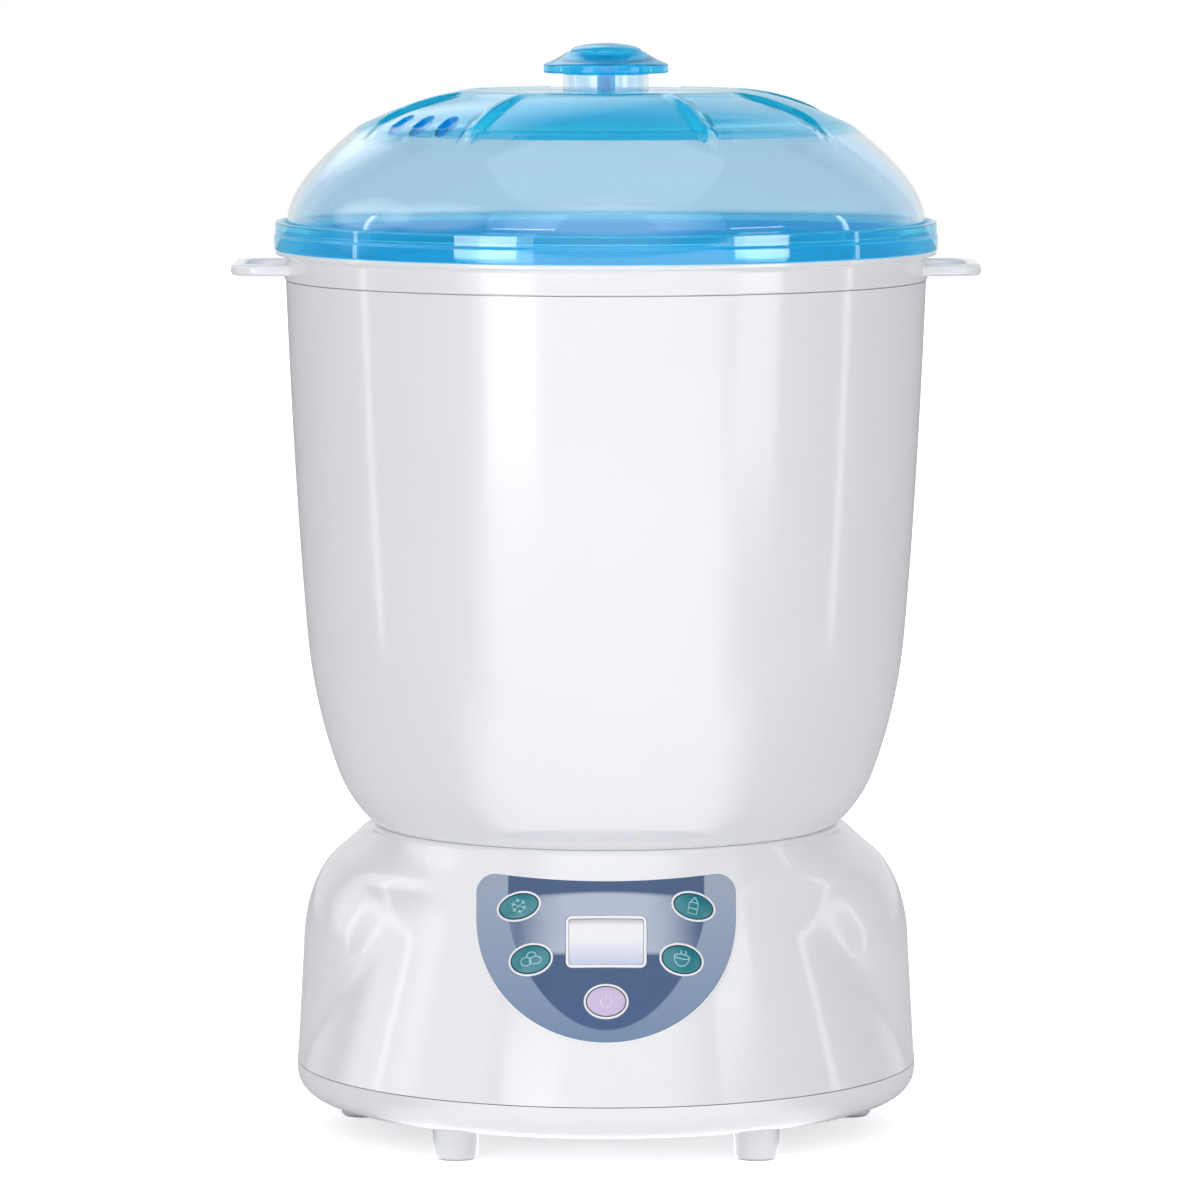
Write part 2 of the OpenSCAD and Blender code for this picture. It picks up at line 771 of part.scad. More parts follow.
module base_housing() {
    color(white)
    difference() {
        union() {
            difference() {
                union() {
                    base_form();
                    translate([0, gland_y, gland_z]) rotate([90, 0, 0])
                        cylinder(r = gland_pad_r, h = gland_l);
                }
                base_hollow();
            }
            intersection() {
                base_form();
                difference() {
                    for (a = cover_screw_angles)
                        at_angle(cover_screw_circle_r, a)
                            translate([0, 0, z_post]) cylinder(r = boss_r, h = z_neck - z_post);
                    translate([0, 0, z_roof - bracket_h])
                        cylinder(r = bracket_r + screw_gap, h = through);
                }
            }
            tube(ledge_r + base_wall, dish_hole_r, z_roof, base_wall);
        }
        translate([0, 0, z_ledge]) cylinder(r = ledge_r, h = through);
        translate([0, 0, z_roof - bite]) cylinder(r = dish_hole_r, h = through);
        difference() {
            through_panel() panel_outline(0);
            cone_fill(-panel_rebate);
        }
        through_panel() panel_outline(panel_ledge);
        translate([0, gland_y + bite, gland_z]) rotate([90, 0, 0])
            cylinder(r = gland_body_r + screw_gap, h = gland_l + through / 2);
        for (a = cover_screw_angles)
            at_angle(cover_screw_circle_r, a)
                translate([0, 0, z_post - bite]) cylinder(r = hole_r, h = cover_screw_l);
        for (a = dish_screw_angles)
            at_angle(dish_screw_circle_r, a)
                translate([0, 0, z_roof - bite]) cylinder(r = hole_r, h = dish_screw_l);
    }
}

module bottom_cover() {
    lip_r = cone_r(z_seam + cover_lip_h) - base_wall - seam_gap;
    z_edge = z_seam - seam_gap / 2;
    corner = [base_r - cover_edge_r, z_cover + cover_edge_r];
    inner_r = max(cover_edge_r - base_wall, bite);
    color(white)
    difference() {
        union() {
            revolve(concat(
                [[0, z_cover]],
                arc(corner, cover_edge_r, -90, 0),
                [
                    [base_r, z_edge],
                    [lip_r, z_edge],
                    [lip_r, z_seam + cover_lip_h],
                    [lip_r - cover_lip_t, z_seam + cover_lip_h]
                ],
                arc([lip_r - cover_lip_t - inner_r, z_inside + inner_r], inner_r, 0, -90),
                [[0, z_inside]]
            ));
            for (a = cover_screw_angles)
                at_angle(cover_screw_circle_r, a)
                    translate([0, 0, z_inside - bite]) cylinder(r = boss_r, h = post_h + bite);
            for (x = post_xs, y = post_ys)
                translate([x, y, z_inside - bite]) cylinder(r = board_post_r, h = post_h + bite);
        }
        for (a = cover_screw_angles)
            at_angle(cover_screw_circle_r, a) translate([0, 0, z_cover - bite]) {
                cylinder(r = hole_r, h = through);
                cylinder(r = screw_head_r + screw_gap, h = counterbore_h + bite);
            }
        for (x = post_xs, y = post_ys)
            translate([x, y, z_inside]) cylinder(r = hole_r, h = through);
        for (a = foot_angles)
            at_angle(foot_circle_r, a)
                translate([0, 0, z_cover - bite]) cylinder(r = spigot_r + screw_gap, h = through);
        for (i = [0:vent_count - 1])
            translate([(i - (vent_count - 1) / 2) * vent_pitch, -vent_l, z_cover - bite])
                linear_extrude(through) rotate(90) slot(vent_l, vent_w);
    }
}

module feet() {
    toe_bevel = 0.8;
    color(white)
    for (a = foot_angles)
        at_angle(foot_circle_r, a)
            revolve([
                [0, pad_h],
                [pad_r + screw_gap, pad_h],
                [pad_r + screw_gap, pad_out],
                [foot_r - toe_bevel, pad_out],
                [foot_r, pad_out + toe_bevel],
                [foot_r, z_cover],
                [spigot_r, z_cover],
                [spigot_r, z_inside],
                [0, z_inside]
            ]);
}

module foot_pads() {
    color(silicone)
    for (a = foot_angles)
        at_angle(foot_circle_r, a) cylinder(r = pad_r, h = pad_h);
}

module cover_screws() {
    color(steel)
    for (a = cover_screw_angles)
        at_angle(cover_screw_circle_r, a)
            translate([0, 0, z_cover + counterbore_h])
                screw(screw_r, screw_head_r, screw_head_h, cover_screw_l);
}

module mains_gland() {
    color(dark_plastic)
    translate([0, gland_y, gland_z]) rotate([90, 0, 0])
        difference() {
            union() {
                translate([0, 0, -gland_flange_t]) cylinder(r = gland_flange_r, h = gland_flange_t);
                cylinder(r = gland_body_r, h = gland_l);
            }
            translate([0, 0, -through / 2]) cylinder(r = gland_bore_r, h = through);
        }
}

// Control panel

module key_outline(i, grow) {
    place = key_places[i];
    half_w = key_w / 2 + grow;
    half_h = key_heights[i] / 2 + grow;
    step = 7.5;
    translate([place.x, place.y]) rotate(place.z)
        polygon([for (a = [0:step:360 - step]) [half_w * cos(a), half_h * sin(a)]]);
}

module panel_plate() {
    color(panel_blue) {
        difference() {
            intersection() {
                through_panel() panel_outline(panel_gap);
                cone_band(panel_rebate - panel_seat, panel_proud);
            }
            for (i = [0:len(key_places) - 1]) through_panel() key_outline(i, key_gap);
            through_panel() translate([0, -display_drop])
                round_rect(display_w + 2 * display_frame_w, display_h + 2 * display_frame_w,
                    display_corner_r + display_frame_w);
        }
        for (p = panel_screw_places)
            difference() {
                intersection() {
                    on_panel() translate([p.x, p.y, -board_depth])
                        cylinder(r = panel_boss_r, h = board_depth);
                    cone_fill(-panel_rebate + panel_seat + bite);
                }
                on_panel() translate([p.x, p.y, -board_depth - bite])
                    cylinder(r = panel_screw_r + screw_gap, h = panel_screw_l);
            }
    }
}

module display_frame() {
    color(white)
    intersection() {
        through_panel() translate([0, -display_drop]) difference() {
            round_rect(display_w + 2 * (display_frame_w - panel_gap),
                display_h + 2 * (display_frame_w - panel_gap), display_corner_r + display_frame_w);
            round_rect(display_w, display_h, display_corner_r);
        }
        cone_band(panel_rebate, panel_proud + display_frame_proud);
    }
}

module display_window() {
    color(window_clear)
    intersection() {
        through_panel() translate([0, -display_drop])
            round_rect(display_w - 2 * panel_gap, display_h - 2 * panel_gap, display_corner_r);
        cone_band(panel_rebate, panel_proud);
    }
}

// A key's cap, its flange behind the panel, and the stem that meets its switch
module key(i) {
    place = key_places[i];
    intersection() {
        through_panel() key_outline(i, 0);
        cone_band(flange_back, panel_proud + key_proud);
    }
    intersection() {
        through_panel() key_outline(i, key_gap + key_flange_w);
        cone_band(flange_back, -panel_rebate - key_rest_gap);
    }
    intersection() {
        on_panel() translate([place.x, place.y, stem_foot])
            cylinder(r = key_stem_r, h = board_depth);
        cone_fill(-flange_back + bite);
    }
}

module key_upper_left() { color(key_teal) key(0); }
module key_upper_right() { color(key_teal) key(1); }
module key_lower_left() { color(key_teal) key(2); }
module key_lower_right() { color(key_teal) key(3); }
module power_key() { color(key_lilac) key(4); }

module control_board() {
    color(board_green)
    on_panel() translate([0, 0, -board_depth - board_t]) linear_extrude(board_t)
        difference() {
            panel_outline(board_inset);
            for (p = panel_screw_places) translate(p) circle(r = panel_screw_r + panel_gap);
        }
}

module key_switches() {
    case_w = 6;
    case_h = 3.6;
    plunger_r = 1.7;
    color(dark_plastic)
    for (place = key_places)
        on_panel() translate([place.x, place.y, -board_depth]) {
            block(case_w, case_w, case_h);
            cylinder(r = plunger_r, h = switch_h);
        }
}

module display_module() {
    glass_margin = 3;
    glass_t = 3;
    glass_depth = 4.5;
    color(silicone)
    on_panel() translate([0, -display_drop, -board_depth]) {
        block(display_w, display_h, board_depth - glass_depth);
        translate([0, 0, board_depth - glass_depth - glass_t])
            block(display_w + glass_margin, display_h + glass_margin, glass_t);
    }
}

module panel_screws() {
    panel_head_r = 2.4;
    panel_head_h = 1.6;
    color(steel)
    for (p = panel_screw_places)
        on_panel() translate([p.x, p.y, -board_depth - board_t])
            screw(panel_screw_r, panel_head_r, panel_head_h, panel_screw_l);
}

module strip(points, t) {
    last = len(points) - 1;
    for (i = [0:last - 1]) {
        run = points[i + 1] - points[i];
        translate(points[i]) rotate(atan2(run.y, run.x))
            translate([0, -t / 2]) square([norm(run), t]);
    }
    for (i = [1:last - 1]) translate(points[i]) circle(d = t);
}

module ribbon_cable() {
    ribbon_w = 12;
    ribbon_t = 1;
    ribbon_start = 8;
    ribbon_out = 9;
    ribbon_rise = 18;
    start = panel_point(0, -ribbon_start, -board_depth - board_t);
    turn = panel_point(0, -ribbon_start, -board_depth - board_t - ribbon_out);
    end_y = power_board_y + post_inset;
    color(steel)
    translate([-ribbon_w / 2, 0, 0]) rotate([90, 0, 90]) linear_extrude(ribbon_w)
        strip([
            [start.y, start.z],
            [turn.y, turn.z],
            [end_y, z_board_top + ribbon_rise],
            [end_y, z_board_top]
        ], ribbon_t);
}

// Heating

module heater_dish() {
    corner = [dish_r - dish_bend_r, z_dish + dish_bend_r];
    color(steel)
    revolve(concat(
        [[0, z_dish - dish_t]],
        arc(corner, dish_bend_r + dish_t, -90, 0, 8),
        [
            [dish_out_r, z_dish_flange],
            [dish_flange_r, z_dish_flange],
            [dish_flange_r, z_dish_top],
            [dish_r, z_dish_top]
        ],
        arc(corner, dish_bend_r, 0, -90, 8),
        [[0, z_dish]]
    ));
}

module dish_gasket() {
    color(silicone) tube(dish_flange_r, dish_hole_r, z_ledge, gasket_t);
}

module dish_bracket() {
    bracket_in = dish_out_r + screw_gap;
    color(steel)
    difference() {
        revolve([
            [bracket_in, z_roof],
            [bracket_in, z_roof - bracket_h],
            [bracket_in + bracket_t, z_roof - bracket_h],
            [bracket_in + bracket_t, z_roof - bracket_t],
            [bracket_r, z_roof - bracket_t],
            [bracket_r, z_roof]
        ]);
        for (a = dish_screw_angles)
            at_angle(dish_screw_circle_r, a)
                translate([0, 0, z_roof - through / 2]) cylinder(r = hole_r, h = through);
    }
}

module dish_screws() {
    color(steel)
    for (a = dish_screw_angles)
        at_angle(dish_screw_circle_r, a)
            translate([0, 0, z_roof - bracket_t])
                screw(screw_r, screw_head_r, screw_head_h, dish_screw_l);
}

module heat_spreader() {
    color(cast_metal)
    translate([0, 0, z_spreader]) cylinder(r = spreader_r, h = spreader_t);
}

module heating_element() {
    color(oxide_grey) {
        rotate([0, 0, 90 + element_gap_angle])
            rotate_extrude(angle = 360 - 2 * element_gap_angle)
                translate([element_r, z_element]) circle(r = element_tube_r);
        for (x = [-pin_x, pin_x])
            translate([x, pin_y, z_element - pin_l]) cylinder(r = pin_r, h = pin_l);
    }
}

module thermostat() {
    thermostat_r = 9;
    thermostat_h = 8;
    tab_w = 5;
    tab_t = 0.8;
    tab_l = 7;
    color(dark_plastic) {
        translate([0, 0, z_spreader - thermostat_h]) cylinder(r = thermostat_r, h = thermostat_h);
        for (y = [-tab_w, tab_w])
            translate([0, y, z_spreader - thermostat_h - tab_l]) block(tab_w, tab_t, tab_l + bite);
    }
}

module thermal_fuse() {
    fuse_r = 2.2;
    fuse_l = 14;
    fuse_y = -18;
    color(fuse_tan)
    translate([-fuse_l / 2, fuse_y, z_spreader - element_gap - fuse_r])
        rotate([0, 90, 0]) cylinder(r = fuse_r, h = fuse_l);
}

// Power supply

module power_board() {
    color(board_green)
    translate([0, power_board_y + power_board_d / 2, z_post]) difference() {
        block(power_board_w, power_board_d, board_t);
        for (x = post_xs, y = post_ys)
            translate([x, y - power_board_y - power_board_d / 2, -bite])
                cylinder(r = hole_r, h = through);
    }
}

module on_board(x, y) {
    translate([x, y, z_board_top]) children();
}

module transformer() {
    transformer_x = -20;
    winding_w = 30;
    core_w = 34;
    core_h = 8;
    core_d = 20;
    winding_d = 28;
    color(dark_plastic)
    on_board(transformer_x, back_row_y) {
        block(winding_w, winding_d, transformer_h);
        translate([0, 0, (transformer_h - core_h) / 2]) block(core_w, core_d, core_h);
    }
}

module relay() {
    relay_x = 24;
    relay_w = 20;
    relay_d = 16;
    color(relay_blue) on_board(relay_x, back_row_y) block(relay_w, relay_d, relay_h);
}

module capacitor() {
    capacitor_x = 30;
    capacitor_y = 18;
    capacitor_r = 6;
    color(dark_plastic) on_board(capacitor_x, capacitor_y) cylinder(r = capacitor_r, h = capacitor_h);
}

module terminal_block() {
    color(cream) on_board(0, pin_y) block(block_w, block_d, block_h);
}

module board_screws() {
    head_r = 2.8;
    color(steel)
    for (x = post_xs, y = post_ys)
        translate([x, y, z_board_top]) rotate([180, 0, 0])
            screw(screw_r, head_r, screw_head_h, board_t + post_h);
}

module heater_leads() {
    z_low = z_board_top + block_h;
    color(lead_red)
    for (x = [-pin_x, pin_x])
        translate([x, pin_y, z_low]) cylinder(r = lead_r, h = z_element - pin_l - z_low);
}

// Bowl

// Outer or inner profile of the bowl's wall from the heel up to the collar
function bowl_side(inset, from) =
    let (
        start = [neck_r, z_neck + foot_bevel_h],
        heel_c = start - heel_r * [cos(heel_from), -sin(heel_from)],
        turn_c = heel_c + (heel_r - turn_r) * [cos(heel_to), -sin(heel_to)],
        last = turn_c + (turn_r - inset) * [cos(turn_to), -sin(turn_to)],
        rise = side_ease * (z_band - last.y)
    )
    concat(
        arc(heel_c, heel_r - inset, -from, -heel_to, 10),
        arc(turn_c, turn_r - inset, -heel_to, -turn_to, 10, 1),
        bend(last, last + rise * [tan(turn_to), 1], [bowl_r - inset, z_band])
    );

// Slope of the inner heel at the bowl's floor
heel_inner = asin((z_neck + foot_bevel_h + heel_r * sin(heel_from) - z_bowl_floor)
    / (heel_r - bowl_wall));

module bowl_shell() {
    foot_out_r = neck_r - foot_bevel;
    foot_in_r = foot_out_r - foot_ring_w;
    z_under = z_neck + foot_ring_h;
    lip_out_r = lip_mid_r + lip_w / 2;
    lip_in_r = lip_mid_r - lip_w / 2;
    color(white)
    revolve(concat(
        [[foot_in_r, z_neck], [foot_out_r, z_neck]],
        bowl_side(0, heel_from),
        [[rim_out_r, z_band], [rim_out_r, z_rim], [rim_in_r, z_rim], [rim_in_r, z_band + rim_step]],
        reverse(bowl_side(bowl_wall, heel_inner)),
        [
            [lip_in_r, z_bowl_floor],
            [lip_in_r, z_lip],
            [lip_out_r, z_lip],
            [lip_out_r, z_under],
            [foot_in_r, z_under]
        ]
    ));
}

module bowl_seal() {
    half = lip_w / 2 + seal_side;
    color(silicone) tube(lip_mid_r + half, lip_mid_r - half, z_dish_top, seal_t);
}

// Outline of a handle's end, from the collar out
module handle_end(x, w, r) {
    translate([0, -w / 2]) square([x - r, w]);
    translate([0, -w / 2 + r]) square([x, w - 2 * r]);
    for (y = [-w / 2 + r, w / 2 - r]) translate([x - r, y]) circle(r = r);
}

module rim_collar() {
    band_in_r = rim_out_r + collar_fit;
    flange_r = lid_r - collar_under;
    z_handle = z_rim - handle_drop - handle_t / 2;
    reach = collar_r + handle_out;
    color(white) {
        revolve([
            [band_in_r, z_band + band_gap],
            [collar_r, z_band + band_gap],
            [collar_r, z_rim - collar_proud],
            [flange_r, z_rim],
            [flange_r, z_seat],
            [collar_in_r, z_seat],
            [collar_in_r, z_rim],
            [band_in_r, z_rim]
        ]);
        for (side = [0, 180])
            rotate([0, 0, side]) translate([0, 0, z_handle]) linear_extrude(handle_t)
                difference() {
                    handle_end(reach, handle_w, handle_corner_r);
                    handle_end(reach - handle_bar, handle_w - 2 * handle_bar,
                        max(handle_corner_r - handle_bar, bite));
                    circle(r = (band_in_r + collar_r) / 2);
                }
    }
}

// Rack and tray

module in_wells() {
    for (i = [0:well_count - 1]) at_angle(well_circle_r, i * 360 / well_count) children();
}

module prong() {
    cylinder(r = prong_r, h = prong_h);
    translate([0, 0, prong_h]) sphere(r = prong_r);
}

module bottle_rack() {
    ring_w = 3;
    ring_r = rack_r - ring_w;
    color(white)
    difference() {
        union() {
            translate([0, 0, z_rack]) cylinder(r = rack_r, h = rack_t);
            tube(ring_r, ring_r - ring_w, z_bowl_floor, rack_foot_h + bite);
            in_wells() {
                tube(well_r, well_r - well_t, z_rack_top - bite, well_h + bite);
                for (i = [0:prong_count - 1])
                    at_angle(prong_circle_r, i * 360 / prong_count)
                        translate([0, 0, z_rack_top - bite]) prong();
            }
        }
        translate([0, 0, z_rack - bite]) {
            cylinder(r = post_plug_r + plug_fit, h = rack_t + 2 * bite);
            in_wells() {
                cylinder(r = drain_r, h = rack_t + 2 * bite);
                for (i = [0:drain_count - 1])
                    at_angle(drain_circle_r, (i + 0.5) * 360 / drain_count)
                        linear_extrude(rack_t + 2 * bite) slot(drain_l, drain_w);
            }
        }
    }
}

module rack_post() {
    color(white)
    revolve([
        [0, z_rack],
        [post_plug_r, z_rack],
        [post_plug_r, z_rack_top],
        [post_foot_r, z_rack_top],
        [post_low_r, z_rack_top + post_foot_h],
        [post_top_r, z_tray],
        [post_spigot_r, z_tray],
        [post_spigot_r, z_tray + post_spigot_h],
        [0, z_tray + post_spigot_h]
    ]);
}

module accessory_tray() {
    inside = tray_r - tray_t;
    z_floor = z_tray + tray_t;
    z_top = z_tray + tray_h;
    hub_hole_r = post_spigot_r + hub_fit;
    color(clear_blue)
    difference() {
        revolve([
            [hub_hole_r, z_tray],
            [tray_r, z_tray],
            [tray_r, z_top - tray_t],
            [tray_r + tray_rim_w, z_top - tray_t],
            [tray_r + tray_rim_w, z_top],
            [inside, z_top],
            [inside, z_floor],
            [hub_r, z_floor],
            [hub_r, z_tray + hub_h],
            [hub_hole_r, z_tray + hub_h]
        ]);
        for (i = [0:tray_slot_count - 1])
            rotate([0, 0, i * 360 / tray_slot_count])
                translate([(tray_slot_in + tray_slot_out) / 2, 0, z_tray - bite])
                    linear_extrude(tray_t + 2 * bite)
                        slot(tray_slot_out - tray_slot_in, tray_slot_w);
    }
}

// Lid

// A wedge over one wing, drawn in by a wall
module wing_wedge(inset) {
    reach = lid_r + bite;
    tip = inset / sin(wing_half);
    span = reach * tan(wing_half);
    translate([0, 0, z_dome]) linear_extrude(through)
        polygon([[tip, 0], [tip + reach, -span], [tip + reach, span]]);
}

// The four wings, drawn in by a wall
module wings(inset) {
    foot = [wing_start_r, z_wing];
    for (i = [0:wing_count - 1])
        intersection() {
            revolve(concat(
                [[0, z_wing]],
                oval_arc(foot, wing_run - inset, wing_depth - inset, 0, 90, 16),
                [[0, z_lid_top - inset]]
            ));
            rotate([0, 0, wing_angle + i * 360 / wing_count]) wing_wedge(inset);
        }
}

// The dome's side and crown up to the flat top, drawn in by a wall
function dome_side(inset) =
    let (
        slope = (side_slope + crown_slope) / 2,
        foot = [dome_r - inset, z_dome],
        crease = [crease_r, z_crease] - inset * [sin(slope), cos(slope)],
        top = [plateau_r, z_lid_top - inset],
        side_pull = [foot.x, crease.y - (foot.x - crease.x) * tan(side_slope)],
        crown_pull = [crease.x - (top.y - crease.y) / tan(crown_slope), top.y]
    )
    concat([foot], bend(foot, side_pull, crease), bend(crease, crown_pull, top));

module lid_shell() {
    z_skirt = z_seat - skirt_h;
    z_groove = z_dome - rim_groove;
    rim_in_side = lid_r - lid_wall;
    lip_in = lid_r - rim_bevel - rim_lip_w;
    color(clear_blue)
    rotate([0, 0, lid_turn])
    difference() {
        union() {
            revolve(concat(
                [
                    [0, z_skirt],
                    [skirt_r, z_skirt],
                    [skirt_r, z_seat + seat_gap],
                    [lid_r, z_seat + seat_gap],
                    [lid_r, z_dome - rim_bevel],
                    [lid_r - rim_bevel, z_dome],
                    [lip_in, z_dome],
                    [lip_in - rim_groove, z_groove],
                    [dome_r, z_groove]
                ],
                dome_side(0),
                [[0, z_lid_top]]
            ));
            wings(0);
        }
        revolve(concat(
            [
                [0, z_skirt - bite],
                [skirt_r - skirt_t, z_skirt - bite],
                [skirt_r - skirt_t, z_groove]
            ],
            dome_side(lid_wall),
            [[0, z_lid_top - lid_wall]]
        ));
        wings(lid_wall);
        tube(rim_in_side, skirt_r, z_seat - bite, lid_rim_h - rim_groove - lid_wall + bite);
        for (i = [-1:1])
            at_angle(steam_circle_r, wing_angle + i * steam_step)
                translate([0, 0, z_wing]) linear_extrude(through) rotate(90) slot(steam_l, steam_w);
        cylinder(r = hole_r, h = z_lid_top + through);
    }
}

module lid_knob() {
    z_cap = z_lid_top + knob_stem_h;
    z_edge = z_cap + knob_edge_h;
    z_button = z_edge + knob_flare_h;
    z_roof_in = z_edge + knob_flare_h / 2;
    hollow_r = knob_stem_r - knob_wall;
    flare_foot = [knob_r - knob_bevel, z_edge];
    flare_head = [knob_button_r, z_button];
    flare_pull = [(flare_foot.x + flare_head.x) / 2, z_edge + knob_flare_h / 3];
    color(clear_blue)
    revolve(concat(
        [
            [knob_stem_r, z_lid_top],
            [knob_stem_r, z_cap],
            [knob_r - knob_bevel, z_cap],
            [knob_r, z_cap + knob_bevel],
            [knob_r, z_edge - knob_bevel],
            flare_foot
        ],
        bend(flare_foot, flare_pull, flare_head, 8),
        oval_arc([0, z_button], knob_button_r - knob_bevel, knob_crown_h, 0, 90, 8),
        [
            [0, z_lid_top + knob_screw_l - lid_wall + bite],
            [hole_r, z_lid_top + knob_screw_l - lid_wall + bite],
            [hole_r, z_lid_top],
            [knob_post_r, z_lid_top],
            [knob_post_r, z_roof_in],
            [hollow_r, z_roof_in],
            [hollow_r, z_lid_top]
        ]
    ));
}

module knob_screw() {
    color(steel)
    translate([0, 0, z_lid_top - lid_wall])
        screw(screw_r, screw_head_r, screw_head_h, knob_screw_l);
}

base_housing();
bottom_cover();
feet();
foot_pads();
cover_screws();
mains_gland();
panel_plate();
display_frame();
display_window();
key_upper_left();
key_upper_right();
key_lower_left();
key_lower_right();
power_key();
control_board();
key_switches();
display_module();
panel_screws();
ribbon_cable();
heater_dish();
dish_gasket();
dish_bracket();
dish_screws();
heat_spreader();
heating_element();
thermostat();
thermal_fuse();
power_board();
transformer();
relay();
capacitor();
terminal_block();
board_screws();
heater_leads();
bowl_shell();
rim_collar();
bowl_seal();
bottle_rack();
rack_post();
accessory_tray();
lid_shell();
lid_knob();
knob_screw();
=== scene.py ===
"""Electric steam sterilizer for feeding bottles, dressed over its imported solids.

The white mouldings, the clear lid and the keys are modelled here. The rack, tray, heater and
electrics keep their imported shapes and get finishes. Sizes are in millimetres, +Z is up and the
front faces -Y.
"""

from __future__ import annotations

import json
import logging
import math
from dataclasses import dataclass, field
from enum import Enum
from typing import Any, Sequence

import bmesh
import bpy
from mathutils import Matrix, Vector

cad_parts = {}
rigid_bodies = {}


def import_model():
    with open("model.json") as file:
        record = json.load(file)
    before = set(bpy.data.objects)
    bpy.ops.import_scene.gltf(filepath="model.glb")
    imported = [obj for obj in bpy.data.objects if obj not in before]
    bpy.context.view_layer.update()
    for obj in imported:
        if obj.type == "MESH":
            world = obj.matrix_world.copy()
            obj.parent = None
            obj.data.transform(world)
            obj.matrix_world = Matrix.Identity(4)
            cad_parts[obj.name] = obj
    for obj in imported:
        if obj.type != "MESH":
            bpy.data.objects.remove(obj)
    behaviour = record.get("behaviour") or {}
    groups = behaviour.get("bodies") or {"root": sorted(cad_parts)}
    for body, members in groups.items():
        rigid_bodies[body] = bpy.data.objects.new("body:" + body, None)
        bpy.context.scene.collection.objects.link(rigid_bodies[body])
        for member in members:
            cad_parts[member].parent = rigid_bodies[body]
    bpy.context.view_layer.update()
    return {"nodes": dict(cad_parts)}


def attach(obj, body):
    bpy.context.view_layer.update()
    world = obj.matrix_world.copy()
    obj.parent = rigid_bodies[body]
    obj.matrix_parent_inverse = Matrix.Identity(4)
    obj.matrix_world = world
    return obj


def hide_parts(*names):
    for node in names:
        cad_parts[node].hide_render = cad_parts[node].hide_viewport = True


MM = 0.001
ROUND_SEGMENTS = 5
SHARP_ANGLE = math.radians(32)
SQUARE_ANGLE = math.radians(60)
MERGE_DISTANCE = 1e-6
# Slack with which radii and levels are compared
NEAR = 0.1
# Raised wings on the lid, and the lid's turn on its seat, in degrees
WINGS = 4
LID_TURN = -4.3
# Values between which a noise texture nearly always lies
NOISE_RANGE = (0.3, 0.7)
Point = tuple[float, float]
Tree = bpy.types.NodeTree
Socket = bpy.types.NodeSocket
Mesh = bmesh.types.BMesh
log = logging.getLogger("sterilizer")


def linear(code: str) -> tuple[float, float, float, float]:
    """Turn an sRGB hex colour into linear values.

    Args:
        code: Six hex digits after a hash sign.

    Returns:
        Linear red, green and blue, and an alpha of 1.
    """
    shares = [int(code[i:i + 2], 16) / 255 for i in (1, 3, 5)]
    red, green, blue = (s / 12.92 if s <= 0.04045 else ((s + 0.055) / 1.055) ** 2.4 for s in shares)
    return red, green, blue, 1.0


def per_mm(size: float) -> float:
    """Give the texture scale at which a pattern repeats about every size millimetres."""
    return 1 / (size * MM)


def spans(source: Sequence[float], target: Sequence[float] = (0.0, 1.0)) -> dict[str, float]:
    """Give the settings that map one range of values onto another."""
    return dict(zip(("From Min", "From Max", "To Min", "To Max"), (*source, *target)))


def two_colours(first: str, second: str) -> dict[Any, Any]:
    """Give the settings that mix two colours."""
    return {"data_type": "RGBA", 6: linear(first), 7: linear(second)}


def bare_tree(owner: bpy.types.Material | bpy.types.World) -> Tree:
    """Clear the nodes of a material or world.

    Args:
        owner: The material or world.

    Returns:
        Its empty node tree.
    """
    owner.use_nodes = True
    owner.node_tree.nodes.clear()
    return owner.node_tree


def add_node(tree: Tree, kind: str, settings: dict[Any, Any] | None = None,
             links: dict[Any, Socket] | None = None) -> bpy.types.NodeOutputs:
    """Add a node with its settings and links.

    Args:
        tree: The node tree that gets the node.
        kind: The node's type name.
        settings: Values by attribute name, or by input name or number.
        links: Output sockets by input name or number.

    Returns:
        The new node's outputs.
    """
    node = tree.nodes.new(kind)
    for key, value in (settings or {}).items():
        if isinstance(key, str) and hasattr(node, key):
            setattr(node, key, value)
        else:
            node.inputs[key].default_value = value
    for key, socket in (links or {}).items():
        tree.links.new(socket, node.inputs[key])
    return node.outputs


